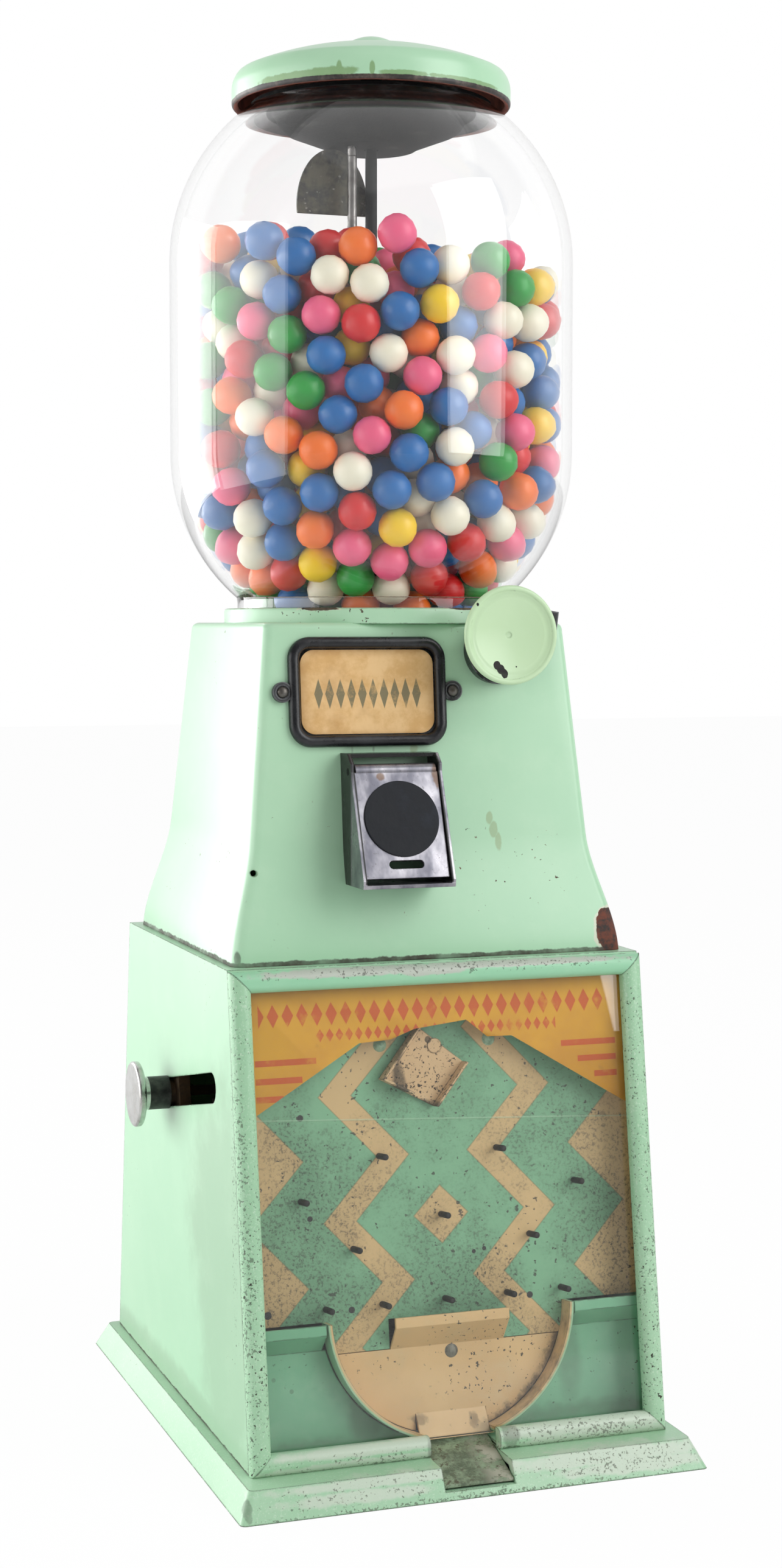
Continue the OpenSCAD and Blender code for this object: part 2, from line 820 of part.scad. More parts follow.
module name_frame() {
    color("#26282a") on_house(-name_x, name_z) difference() {
        union() {
            linear_extrude(2) {
                round_rect(name_w, name_h, 9);
                for (s = [-1, 1]) translate([s * ear_x, 0]) circle(4.2);
                square([2 * ear_x, 5], center = true);
            }
            linear_extrude(3.2) round_rect(name_w - 2.4, name_h - 2.4, 7.8);
        }
        translate([0, 0, -1]) linear_extrude(6)
            round_rect(name_w - 2 * name_border, name_h - 2 * name_border, 6);
        for (s = [-1, 1]) translate([s * ear_x, 0, -1]) cylinder(d = 2.6, h = 4);
    }
}

module name_card() {
    color("#d8b47c") on_house(-name_x, name_z) linear_extrude(0.6)
        round_rect(name_w - 2 * name_border - gap, name_h - 2 * name_border - gap, 5.8);
}

module name_screws() {
    color("#3a3c3e") on_house(-name_x, name_z) for (s = [-1, 1])
        translate([s * ear_x, 0, 2]) domed_head(4.6, 1.3);
}

// Delivery hood with its hinged flap

hood_top = house_top - hood_drop;
hood_low = hood_top - hood_h;
hood_t = 1.5;
flap_w = hood_w - 2 * hood_t - 2 * gap;
flap_axis_z = hood_top - 7;
flap_axis_y = house_front(flap_axis_z) - 9;
flap_t = 1.5;
barrel_d = 6;
flap_pin_d = 3;
flap_foot_y = house_front(hood_low) - hood_reach;
flap_lean = atan((flap_axis_y - barrel_d / 2 - flap_foot_y) / (flap_axis_z - hood_low));
flap_l = (flap_axis_z - hood_low - 3) / cos(flap_lean);

module hood_side() {
    front_top = flap_axis_y - barrel_d / 2 - 0.5;
    polygon([
        [house_front(hood_top) + 2, hood_top], [flap_axis_y + 1, hood_top],
        [front_top, hood_top - 4], [front_top, flap_axis_z],
        [flap_foot_y - 0.5, hood_low + 3], [flap_foot_y, hood_low],
        [house_front(hood_low) + 2, hood_low]
    ]);
}

module chute_hood() {
    color("#a9abac") translate([-hood_x, 0, 0]) difference() {
        union() {
            for (s = [-1, 1]) translate([s * (hood_w - hood_t) / 2, 0, 0]) across(hood_t) hood_side();
            across(hood_w) polygon([
                [house_front(hood_top) + 2, hood_top], [flap_axis_y + 1, hood_top],
                [flap_axis_y + 1, hood_top - hood_t], [house_front(hood_top) + 2, hood_top - hood_t]
            ]);
            across(hood_w) polygon([
                [house_front(hood_low) + 2, hood_low], [flap_foot_y, hood_low],
                [flap_foot_y - 0.5, hood_low + hood_t], [house_front(hood_low) + 2, hood_low + hood_t]
            ]);
        }
        translate([0, flap_axis_y, flap_axis_z]) rod_x(flap_pin_d, -far / 2, far / 2);
        translate([hood_x, 0, 0]) house_body(0, cab_top, house_top);
    }
}

module flap_pin() {
    color("#8e9092") translate([-hood_x, flap_axis_y, flap_axis_z])
        rod_x(flap_pin_d, -hood_w / 2, hood_w / 2);
}

// Frame of the closed flap: x across, y up the flap, z outwards, on its hinge axis
module on_flap() {
    translate([-hood_x, flap_axis_y, flap_axis_z]) rotate([90 - flap_lean, 0, 0]) children();
}

flap_face = barrel_d / 2 - 0.4;

module pill(l, d) {
    polygon([for (s = [1, -1]) for (i = [-6:6]) [s * (l / 2 + cos(i * 15) * d / 2), s * sin(i * 15) * d / 2]]);
}

module chute_flap() {
    color("#b9bbbb") difference() {
        union() {
            on_flap() translate([-flap_w / 2, -flap_l, flap_face - flap_t])
                cube([flap_w, flap_l - 1.2, flap_t]);
            translate([-hood_x, flap_axis_y, flap_axis_z]) rod_x(barrel_d, 0.5 - flap_w / 2, flap_w / 2 - 0.5);
        }
        translate([-hood_x, flap_axis_y, flap_axis_z]) rod_x(flap_pin_d + run, -far / 2, far / 2);
        on_flap() translate([0, -flap_l + 5.5, 0]) linear_extrude(10) pill(11.2, 3.4);
    }
}

module flap_disc() {
    color("#1d1e1f") on_flap() translate([0, -flap_l * 0.46, flap_face]) cylinder(d = 31, h = 0.6);
}

// Coin entry with the push disc, its shaft and spring

entry_out = 6.5;
entry_front = house_front(push_z) - entry_out;
hub_l = 4;
dish_h = 3.2;
hub_y = house_front(push_z) - disc_reach + hub_l + dish_h;
spring_bore = push_d + 4.2;
spring_seat = entry_front + 5;
lobe_r = 13.5;
coin_drop_z = push_z + 3;

// Points of an arc of the entry's outline, in steps of six degrees
function lobe(c, from, to) = [for (a = [from:6:to]) c + lobe_r * [cos(a), sin(a)]];

// Front outline of the coin entry: two round lobes and the lip over the slot
module entry_outline() {
    low = [push_x + 3.8, push_z - 6.5];
    high = [coin_x - 1.5, push_z - 2];
    tilt = atan((high[1] - low[1]) / (high[0] - low[0]));
    polygon(concat(
        lobe(low, tilt + 90, tilt + 270), lobe(high, tilt - 90, 4), [high + [15, 11.3]],
        lobe(high, 80, tilt + 89)
    ));
}

// All that lies behind the sloped front of the housing, also above its top
module behind_front() {
    across(far) polygon([
        [house_front(house_top - 60), house_top - 60], [house_front(house_top + 30), house_top + 30],
        [0, house_top + 30], [0, house_top - 60]
    ]);
}

module entry_slot(y) {
    translate([coin_x - coin_slot_l / 2, y, coin_drop_z - 14]) cube([coin_slot_l, coin_slot_w, 60]);
    translate([coin_x - coin_slot_l / 2, y, coin_drop_z - 14]) cube([coin_slot_l, 20, 14]);
}

module coin_entry() {
    color("#202122") difference() {
        along_y(entry_front, entry_front + 12) entry_outline();
        behind_front();
        translate([push_x, 0, push_z]) {
            rod_y(push_d + run, -far / 2, far / 2);
            rod_y(spring_bore, -far / 2, spring_seat);
        }
        entry_slot(house_front(push_z) - coin_slot_w - 1.2);
    }
}

// A straight tube of sheet with a rectangular bore, between two middles
module flat_tube(p1, p2, w, d, wall) {
    difference() {
        hull() {
            translate(p1) cube([w + 2 * wall, d + 2 * wall, eps], center = true);
            translate(p2) cube([w + 2 * wall, d + 2 * wall, eps], center = true);
        }
        hull() {
            translate(p1 + [0, 0, 1] - (p2 - p1) * 0.02) cube([w, d, 2], center = true);
            translate(p2 - [0, 0, 1] + (p2 - p1) * 0.02) cube([w, d, 2], center = true);
        }
    }
}

chute_y = house_front(push_z - 29) + house_wall + 4;
chute_top = [coin_x, chute_y + 1.4, coin_drop_z - 17];
chute_knee = [coin_x, chute_y, coin_drop_z - 42];
chute_bend = [coin_x * 0.31, chute_y - 6, cab_top + 24];
chute_end_z = cab_top - 12;
chute_end = [0, behind_field(chute_end_z) - 6.4, chute_end_z];
chute_top_cut = [-14, 20];

module coin_chute() {
    w = coin_slot_l + 0.6;
    color("#8b8e91") {
        flat_tube(chute_top, chute_knee, w, 3.4, 0.8);
        flat_tube(chute_knee, chute_bend, w, 3.4, 0.8);
        flat_tube(chute_bend, chute_end, w, 3.4, 0.8);
    }
}

// Shallow dish with a rolled rim, turned on the end of the push shaft
module push_disc() {
    dish_r = 60;
    rim_r = 1.2;
    color("#c8e6b9") translate([push_x, hub_y, push_z]) rotate([90, 0, 0]) rotate_extrude($fn = 96) {
        difference() {
            intersection() {
                translate([0, hub_l - 1.4 + dish_r]) circle(dish_r, $fn = 256);
                square([disc_d / 2 - rim_r, hub_l + dish_h]);
            }
            translate([0, hub_l + dish_r]) circle(dish_r, $fn = 256);
        }
        translate([push_d / 2, 0]) square([6 - push_d / 2, hub_l - 0.8]);
        translate([disc_d / 2 - rim_r, hub_l + dish_h - rim_r]) circle(rim_r, $fn = 24);
    }
}

crank_front = house_front(push_z) + house_wall + 0.7;
pusher_t = 3;
pawl_gap = 1.1;
bar_z = house_top - 36.5;
bar_h = 5;
pawl_end = axis_y - tooth_r * sin(push_step / 2) - pawl_gap;
pawl_in = tooth_r * cos(push_step / 2) - 1.5;

module push_shaft() {
    color("#8f9194") {
        translate([push_x, 0, push_z]) rod_y(push_d, hub_y - hub_l + 1.4, crank_front + eps);
        translate([push_x - 3.4, crank_front, bar_z])
            cube([6.8, pusher_t, push_z + push_d / 2 + 0.2 - bar_z]);
        translate([tooth_r + 1.5, crank_front, bar_z])
            cube([push_x + 3.4 - tooth_r - 1.5, pusher_t, bar_h]);
        translate([tooth_r + 1.5, crank_front, bar_z])
            cube([6.5, pawl_end - crank_front, bar_h]);
        translate([pawl_in, pawl_end - 4.5, bar_z]) cube([tooth_r + 2 - pawl_in, 4.5, bar_h]);
    }
}

// Points of one ring of the spring wire, at a share of its length
function ring_points(u, r, l, turns, wire, sides) =
    let (a = 360 * turns * u)
    [for (k = [0:sides - 1])
        let (b = 360 * k / sides, q = r + wire / 2 * cos(b))
        [q * cos(a), q * sin(a), l * u + wire / 2 * sin(b)]];

// A round wire wound into an open spring along z
module wound_spring(r, l, turns, wire) {
    sides = 6;
    rings = turns * 16;
    points = [for (i = [0:rings]) each ring_points(i / rings, r, l, turns, wire, sides)];
    walls = [for (i = [0:rings - 1], k = [0:sides - 1])
        let (a = i * sides + k, b = i * sides + (k + 1) % sides)
        each [[a, b, a + sides], [b, b + sides, a + sides]]];
    first = [for (k = [sides - 1:-1:0]) k];
    last = [for (k = [0:sides - 1]) rings * sides + k];
    polyhedron(points, concat(walls, [first, last]), convexity = 10);
}

module push_spring() {
    start = hub_y + wire_d / 2 + 0.1;
    end = spring_seat - wire_d / 2 - 0.1;
    color("#b5b7b8") translate([push_x, end, push_z]) rotate([90, 0, 0])
        wound_spring(push_d / 2 + gap + wire_d / 2, end - start, spring_turns, wire_d);
}

// Hopper bowl, pocket wheel and its ratchet

floor_z = house_top - 30;
floor_t = 3;
wheel_z = floor_z + floor_t + 0.4;
hub_r = 9;
stub_r = 7;
drop_r = 9.2;
drop_a = 180 + acos(hood_x / pocket_pcr);

module at_axis(z) {
    translate([0, axis_y, z]) children();
}

module hopper_bowl() {
    color("#9ea1a3") difference() {
        union() {
            at_axis(floor_z) cylinder(r = bowl_out, h = house_top - floor_z, $fn = 128);
            for (a = [0, 90, 180]) at_axis(house_top - top_t - 3) rotate([0, 0, a])
                translate([bowl_out - 1, -5, 0]) cube([8, 10, 3]);
        }
        at_axis(floor_z + floor_t) cylinder(r = bowl_r, h = far, $fn = 128);
        at_axis(floor_z - 1) cylinder(r = hub_r + 0.15, h = floor_t + 2);
        at_axis(floor_z - 1) rotate([0, 0, drop_a]) translate([pocket_pcr, 0, 0])
            cylinder(r = drop_r, h = floor_t + 2);
    }
}

guard_z = floor_z + floor_t + ball_d + 1.2;

module drop_guard() {
    color("#7d8082") at_axis(guard_z) rotate([0, 0, drop_a]) linear_extrude(1.2)
        intersection() {
            difference() {
                circle(bowl_r, $fn = 128);
                circle(pocket_pcr - ball_d * 0.6);
            }
            polygon([[0, 0], [far, -far * 0.4], [far, far * 0.4]]);
        }
}

module feed_wheel() {
    color("#c9a45c") difference() {
        union() {
            at_axis(wheel_z) cylinder(r = wheel_r, h = wheel_t, $fn = 128);
            at_axis(floor_z - gap) cylinder(r = hub_r, h = floor_t + 1);
            at_axis(bar_z) cylinder(r = stub_r, h = floor_z - bar_z);
            at_axis(wheel_z + wheel_t) cylinder(r1 = 16, r2 = 5, h = 6);
        }
        for (i = [0:pockets - 1]) at_axis(wheel_z - 1) rotate([0, 0, drop_a + 360 * i / pockets])
            translate([pocket_pcr, 0, 0]) cylinder(r = ball_d / 2 + 0.75, h = wheel_t + 2);
        at_axis(floor_z - 40) cylinder(d = rod_d + run * 2, h = 80);
    }
}

// One tooth: a radial face for the pawl and a long sloped back
function tooth(i) = let (a = -push_step / 2 + push_step * i)
    [[root_r * cos(a), root_r * sin(a)], [tooth_r * cos(a), tooth_r * sin(a)],
     [(root_r * 2 + tooth_r) / 3 * cos(a + push_step * 0.66),
      (root_r * 2 + tooth_r) / 3 * sin(a + push_step * 0.66)]];

module ratchet_wheel() {
    color("#7f8285") at_axis(bar_z) linear_extrude(bar_h) difference() {
        polygon([for (i = [0:pockets - 1]) each tooth(i)]);
        circle(stub_r + 0.02);
    }
}

strap_z = bar_z - 8;
strap_t = 3;

module axle_strap() {
    strap_half = house_half(strap_z + strap_t) - house_wall - 0.1;
    color("#85888b") difference() {
        translate([-strap_half, axis_y - 7, strap_z]) cube([2 * strap_half, 14, strap_t]);
        at_axis(strap_z - 1) cylinder(d = rod_d + 0.04, h = strap_t + 2);
    }
}

cup_floor_z = mouth_z - lid_cup_h;

module centre_rod() {
    color("#2b2c2d") difference() {
        at_axis(strap_z - 6) cylinder(d = rod_d, h = cup_floor_z - gap - strap_z + 6, $fn = 32);
        at_axis(cup_floor_z - 16) cylinder(d = lid_screw_d + 2 * run, h = 20, $fn = 24);
    }
}

module rod_nut() {
    color("#97999b") difference() {
        union() {
            at_axis(strap_z - 4.5) cylinder(d = 11, h = 4.5, $fn = 6);
            at_axis(strap_z + strap_t) cylinder(d = 12, h = bar_z - strap_z - strap_t - gap);
        }
        at_axis(strap_z - 6) cylinder(d = rod_d + 0.04, h = 20);
    }
}

lock_rod_x = -10;

module lock_rod() {
    foot_z = wheel_z + wheel_t + 7;
    color("#c4c6c6") {
        translate([lock_rod_x, axis_y - 4.7, foot_z + 5 - eps])
            cylinder(d = 4, h = cup_floor_z - gap - foot_z - 5, $fn = 32);
        translate([0.5 - bowl_r, axis_y - 6.2, foot_z + 2]) cube([2 * bowl_r - 1, 3, 3]);
    }
}

chute_floor_t = 1.2;

// Open trough from under the drop hole to the mouth in the housing's front
module delivery_chute() {
    w = 2 * drop_r + 2;
    y_back = axis_y - pocket_pcr * sin(drop_a - 180) + drop_r + 2;
    y_front = house_front(hood_low + 22) + house_wall + gap;
    z_back = floor_z - 24;
    z_front = hood_low + 14;
    color("#8e9194") translate([-hood_x, 0, 0]) {
        across(w + 2) polygon([
            [y_back, z_back], [y_front, z_front], [y_front, z_front - chute_floor_t],
            [y_back, z_back - chute_floor_t]
        ]);
        for (s = [-1, 1]) translate([s * (w / 2 + 0.5), 0, 0]) across(1) polygon([
            [y_back, z_back], [y_front, z_front], [y_front, z_front + 20],
            [y_back - 24, floor_z - gap], [y_back, floor_z - gap]
        ]);
        translate([-w / 2 - 1, y_back, z_back - chute_floor_t])
            cube([w + 2, 1, floor_z - gap - z_back + chute_floor_t]);
    }
}

// Globe, its gasket and the heap of gumballs

module globe_area(in) {
    translate([0, shoulder_low]) square([globe_r - in, globe_mid]);
    intersection() {
        translate([arc_x, shoulder_high]) circle(shoulder_r - in, $fn = 256);
        translate([0, shoulder_high - eps]) square([globe_r, mouth_z + in - shoulder_high]);
    }
    intersection() {
        translate([arc_x, shoulder_low]) circle(shoulder_r - in, $fn = 256);
        translate([0, globe_z + 5 + in]) square([globe_r, shoulder_low - globe_z - 5 - in + eps]);
    }
    translate([0, globe_z + in]) square([foot_r - in, 10 - in / 2]);
}

module globe() {
    color("#dfeaec") at_axis(0) rotate_extrude($fn = 128) difference() {
        globe_area(0);
        globe_area(globe_t);
        translate([0, globe_z - 1]) square([bowl_out + 0.2, globe_t + 2]);
    }
}

module globe_gasket() {
    color("#33302c") at_axis(house_top) difference() {
        cylinder(r = foot_r, h = gasket_t, $fn = 128);
        translate([0, 0, -1]) cylinder(r = bowl_out + 0.1, h = gasket_t + 2, $fn = 128);
    }
}

// Inner radius of the globe at a height, or the radius of a line set further in
function globe_in(z, in = 0) =
    let (s = shoulder_r - globe_t - in, dz = max(0, shoulder_low - z, z - shoulder_high))
    arc_x + sqrt(max(0, s * s - dz * dz));

ball_step = 16.1;
ball_space = ball_d + 0.25;
heap_foot = globe_z + globe_t + ball_d / 2 + 5;
gum = ["#d93a3f", "#e8b92c", "#2f62a8", "#efe6d2", "#e46a9a", "#e67a33", "#2f9a4a"];

module ball(x, y, z, tint) {
    color(gum[tint % 7]) at_axis(z) translate([x, y, 0]) sphere(d = ball_d, $fn = 24);
}

// Balls against the glass, ring over ring, and a flat top layer round the rods
module gumballs() {
    layers = floor((heap_h - 20) / ball_step);
    for (i = [0:layers - 1]) {
        z = heap_foot + i * ball_step;
        r = globe_in(z, ball_d / 2 + gap);
        n = floor(180 / asin(ball_space / 2 / r));
        for (k = [0:n - 1]) let (a = 360 * (k + (i % 2) / 2) / n)
            ball(r * cos(a), r * sin(a), z, k * 3 + i * 2);
    }
    top_z = heap_foot + layers * ball_step;
    top_r = globe_in(top_z, ball_d / 2 + gap);
    for (i = [-5:5], k = [-5:5]) let (
        x = ball_space * (i + (abs(k) % 2) / 2), y = ball_space * k * sqrt(3) / 2
    ) if (norm([x, y]) < top_r && norm([x, y]) > ball_d && norm([x - lock_rod_x, y + 4.7]) > ball_d * 0.7)
        ball(x, y, top_z, i * 3 + k + 28);
}

// Lid with the cup under it

lid_low = mouth_z + 1;
lid_top = lid_low + lid_h;
lid_screw_d = 2.8;

// Low wall, rounded shoulder and shallow dome, or the same set further in
module lid_area(in) {
    corner = 10;
    sag = dome_r - sqrt(pow(dome_r, 2) - pow(lid_r - corner, 2));
    wall_h = lid_h - corner - sag + 0.4;
    intersection() {
        union() {
            square([lid_r - corner, lid_h - in]);
            square([lid_r - in, wall_h]);
            translate([lid_r - corner, wall_h]) circle(corner - in);
        }
        translate([0, lid_h - dome_r]) circle(dome_r - in, $fn = 256);
        square([lid_r + 1, lid_h + 1]);
    }
}

module lid() {
    color("#b4dcbf") at_axis(lid_low) rotate_extrude($fn = 128) {
        difference() {
            lid_area(0);
            lid_area(lid_t);
            translate([0, -1]) square([lid_r - lid_t, 3]);
            square([lid_screw_d / 2 + 0.1, far]);
        }
        translate([lid_r - 1.6, 0.6]) circle(1.6, $fn = 24);
    }
}

module lid_cup() {
    mouth_in = globe_in(mouth_z) - 1.6;
    rim = mouth_in + 8;
    low = cup_floor_z - mouth_z;
    up = 0.3;
    color("#232425") at_axis(mouth_z) {
        difference() {
            rotate_extrude($fn = 96) polygon([
                [lid_screw_d / 2 + 0.1, low], [22.5, low], [37, -7.5], [mouth_in, up], [rim, up],
                [rim, up + lid_t], [mouth_in - 0.6, up + lid_t], [36, -6.6], [22, low + lid_t],
                [lid_screw_d / 2 + 0.1, low + lid_t]
            ]);
        }
        translate([0, 0, low + lid_t]) difference() {
            cylinder(d = 9, h = lid_top - lid_t - mouth_z - low - lid_t - 0.15);
            translate([0, 0, -1]) cylinder(d = lid_screw_d + 0.2, h = far);
        }
        translate([-29, 3, low - 21]) cube([24, 2, 21]);
    }
}

module lid_screw() {
    color("#b4dcbf") {
        at_axis(lid_top) difference() {
            translate([0, 0, boss_h - 19]) rotate([90, 0, 0]) sphere(19, $fn = 128);
            translate([0, 0, -dome_r]) rotate([90, 0, 0]) sphere(dome_r + 0.1, $fn = 256);
        }
        at_axis(cup_floor_z - 12) cylinder(d = lid_screw_d, h = lid_top + 1 - cup_floor_z + 12, $fn = 24);
    }
}

// Back door with its hinge and lock

hinge_d = 5;
hinge_z = hinge_d / 2 + 0.1;
hinge_y = door_foot - 0.5;
hinge_pin_d = 2.6;
knuckle = 18;

// A knuckle bored for the pin, with a leaf reaching up or down the sheet
module knuckle(x, up) {
    difference() {
        union() {
            translate([x, hinge_y, hinge_z]) rod_x(hinge_d, 0, knuckle);
            translate([x, up ? hinge_y : hinge_y - 9, 0]) cube([knuckle, 9, 1]);
            translate([x, up ? hinge_y : hinge_y - 1.2, 0]) cube([knuckle, 1.2, hinge_z]);
        }
        translate([x - 1, hinge_y, hinge_z]) rod_x(hinge_pin_d + run, 0, knuckle + 2);
    }
}

hinge_x = [-door_w / 2 + 16, door_w / 2 - 16 - 2 * knuckle - gap];

module door_hinge() {
    color("#7c7f82") on_back() for (x = hinge_x) {
        knuckle(x, false);
        translate([x, hinge_y, hinge_z]) rod_x(hinge_pin_d, 0, 2 * knuckle + gap);
    }
}

lock_y = door_foot + door_h - 12;

module back_door() {
    clear = 0.6;
    color("#a5cdb0") on_back() difference() {
        union() {
            translate([-door_w / 2 + clear, door_foot + clear, -sheet])
                cube([door_w - 2 * clear, door_h - 2 * clear, sheet]);
            for (x = hinge_x) knuckle(x + knuckle + gap, true);
        }
        for (x = hinge_x) translate([x - gap, door_foot - 5, -sheet - 1])
            cube([knuckle + 2 * gap, 5 + 3.4, sheet + 1 + hinge_z + 4]);
        translate([0, lock_y, -sheet - 1]) cylinder(d = 16, h = sheet + 2);
    }
}

module door_lock() {
    color("#c2c4c4") on_back() translate([0, lock_y, 0]) difference() {
        union() {
            cylinder(d = 20, h = 2);
            translate([0, 0, -sheet - 1.5]) cylinder(d = 16, h = sheet + 1.5);
        }
        translate([0, 0, -20]) cylinder(d = 9 + run, h = 30);
    }
}

module lock_cam() {
    color("#aeb0b0") on_back() translate([0, lock_y, 0]) difference() {
        union() {
            translate([0, 0, -sheet - 4]) cylinder(d = 9, h = sheet + 6);
            translate([-5, -5, -sheet - 4]) cube([21, 10, 2]);
        }
        translate([-0.6, -3, -1]) cube([1.2, 6, 8]);
    }
}

base_skirt();
base_plate();
cabinet_shell();
left_stile();
right_stile();
top_rail();
bottom_rail();
game_window();
instruction_card();
playfield();
playfield_pins();
playfield_screws();
cup_wall();
catch_plate();
left_pocket_cover();
right_pocket_cover();
return_ramp();
coin_apron();
cash_box();
carrier_bush();
coin_carrier();
carrier_arm();
handle_track();
handle_knob();
handle_slider();
cross_bar();
bell_crank();
upper_housing();
name_frame();
name_card();
name_screws();
chute_hood();
flap_pin();
chute_flap();
flap_disc();
coin_entry();
coin_chute();
push_disc();
push_shaft();
push_spring();
hopper_bowl();
drop_guard();
feed_wheel();
ratchet_wheel();
axle_strap();
centre_rod();
rod_nut();
lock_rod();
delivery_chute();
globe_gasket();
globe();
gumballs();
lid();
lid_cup();
lid_screw();
back_door();
door_hinge();
door_lock();
lock_cam();
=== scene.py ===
import math

import bpy
import numpy as np
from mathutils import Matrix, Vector


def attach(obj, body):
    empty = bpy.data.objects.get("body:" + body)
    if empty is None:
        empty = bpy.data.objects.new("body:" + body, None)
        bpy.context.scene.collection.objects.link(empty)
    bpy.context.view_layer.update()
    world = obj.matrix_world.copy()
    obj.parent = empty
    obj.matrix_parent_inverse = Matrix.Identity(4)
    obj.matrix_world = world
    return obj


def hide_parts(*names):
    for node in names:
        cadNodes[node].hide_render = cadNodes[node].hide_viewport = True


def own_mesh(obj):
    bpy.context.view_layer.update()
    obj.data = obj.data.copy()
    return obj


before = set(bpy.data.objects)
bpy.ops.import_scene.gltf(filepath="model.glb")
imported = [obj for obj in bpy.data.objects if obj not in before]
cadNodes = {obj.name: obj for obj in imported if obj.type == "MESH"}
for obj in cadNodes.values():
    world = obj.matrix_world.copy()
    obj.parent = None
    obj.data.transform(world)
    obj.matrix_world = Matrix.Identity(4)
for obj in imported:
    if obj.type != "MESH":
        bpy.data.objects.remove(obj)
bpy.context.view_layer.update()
print("frame loaded")

# sizes shared with the CAD source, in millimetres
place = {
    "axisY": 7,
    "cabinetFront": -108,
    "baseTop": 11,
    "cabinetTop": 201.5,
    "frontRun": 28,
    "cabinetHeight": 190.5,
    "housingTop": 336,
    "taper": 0.0935,
    "housingHalf": 57.8,
    "flareTop": 48,
    "flareHigh": 46,
    "flareOut": 6.2,
    "cupMiddle": 56,
    "pushX": 29.2,
    "pushZ": 331,
    "outletX": -15.4,
    "nameX": -22.4,
    "sideRod": (-10, -4.7),
}
leanFront = math.atan(place["frontRun"] / place["cabinetHeight"])


def metres(sizes):
    return [one / 1000 for one in sizes]


def deselectAll():
    bpy.ops.object.select_all(action="DESELECT")


def pick(piece):
    deselectAll()
    piece.select_set(True)
    bpy.context.view_layer.objects.active = piece


def applyModifiers(piece):
    pick(piece)
    for modifier in list(piece.modifiers):
        bpy.ops.object.modifier_apply(modifier=modifier.name)


def settle(piece):
    # place, turn and size go into the mesh, and the object stays at the origin
    pick(piece)
    bpy.ops.object.transform_apply(location=True, rotation=True, scale=True)


def frontPlace(across, up, out):
    # a point on or before the cabinet's leaning front, in millimetres
    deep = place["cabinetFront"] + up * math.sin(leanFront) - out * math.cos(leanFront)
    high = place["baseTop"] + up * math.cos(leanFront) + out * math.sin(leanFront)
    return (across, deep, high)


def putOnFront(piece, across, up, out):
    piece.rotation_euler = (math.radians(90) - leanFront, 0, 0)
    piece.location = metres(frontPlace(across, up, out))
    settle(piece)


def flare(z):
    share = min(1, max(0, (place["cabinetTop"] + place["flareTop"] - z) / place["flareHigh"]))
    return place["flareOut"] * share * share * (3 - 2 * share)


def wallOut(z):
    return place["taper"] * (place["housingTop"] - z) + flare(z)


def housingFront(z):
    return place["axisY"] - place["housingHalf"] - wallOut(z)


def putOnHousing(piece, across, z):
    piece.rotation_euler = (math.radians(90) - math.atan(place["taper"]), 0, 0)
    piece.location = metres((across, housingFront(z), z))
    settle(piece)


def editAll(piece):
    pick(piece)
    bpy.ops.object.mode_set(mode="EDIT")
    bpy.ops.mesh.select_mode(type="VERT")
    bpy.ops.mesh.select_all(action="SELECT")


def leaveEdit():
    bpy.ops.object.mode_set(mode="OBJECT")


def selectFaces(piece, test):
    pick(piece)
    bpy.context.tool_settings.mesh_select_mode = (False, False, True)
    for part in (piece.data.vertices, piece.data.edges, piece.data.polygons):
        for one in part:
            one.select = False
    for face in piece.data.polygons:
        face.select = test(face)
    bpy.ops.object.mode_set(mode="EDIT")


def smoothByAngle(piece, degrees):
    pick(piece)
    bpy.ops.object.shade_smooth_by_angle(angle=math.radians(degrees))


def drawnLine(name, points):
    # one vertex, drawn out from point to point, in millimetres
    bpy.ops.mesh.primitive_plane_add(size=0.001)
    piece = bpy.context.object
    piece.name = name
    editAll(piece)
    bpy.ops.mesh.merge(type="CENTER")
    spots = [Vector(p) / 1000 for p in points]
    bpy.ops.transform.translate(value=spots[0])
    for here, there in zip(spots, spots[1:]):
        bpy.ops.mesh.extrude_region_move(TRANSFORM_OT_translate={"value": there - here})
    return piece


def turned(name, profile, axisPlace, steps):
    # a closed profile of radius and height, spun round a vertical axis
    x, y = axisPlace
    rows = profile + profile[:1]
    piece = drawnLine(name, [(x + r, y, z) for r, z in rows])
    bpy.ops.mesh.select_all(action="SELECT")
    bpy.ops.mesh.spin(steps=steps, angle=math.tau, center=(x / 1000, y / 1000, 0), axis=(0, 0, 1))
    bpy.ops.mesh.select_all(action="SELECT")
    bpy.ops.mesh.remove_doubles(threshold=0.00002)
    bpy.ops.mesh.normals_make_consistent(inside=False)
    leaveEdit()
    smoothByAngle(piece, 32)
    return piece


def arc(centreR, centreZ, radius, start, end, steps):
    points = []
    for i in range(steps + 1):
        turn = math.radians(start + (end - start) * i / steps)
        points.append((centreR + radius * math.cos(turn), centreZ + radius * math.sin(turn)))
    return points


# shader tools


def tone(red, green, blue):
    def linear(c):
        c /= 255
        return ((c + 0.055) / 1.055) ** 2.4 if c > 0.04 else c / 12.92

    return (linear(red), linear(green), linear(blue), 1)


def feed(tree, socket, value):
    if isinstance(value, bpy.types.NodeSocket):
        tree.links.new(value, socket)
    else:
        socket.default_value = value


def addNode(tree, kind, settings=None, inputs=None):
    node = tree.nodes.new(kind)
    for name, value in (settings or {}).items():
        setattr(node, name, value)
    for name, value in (inputs or {}).items():
        feed(tree, node.inputs[name], value)
    return node


def maths(tree, operation, *values):
    node = addNode(tree, "ShaderNodeMath", {"operation": operation})
    for socket, value in zip(node.inputs, values):
        feed(tree, socket, value)
    return node.outputs[0]


def times(tree, first, second):
    return maths(tree, "MULTIPLY", first, second)


def plus(tree, first, second):
    return maths(tree, "ADD", first, second)


def minus(tree, first, second):
    return maths(tree, "SUBTRACT", first, second)


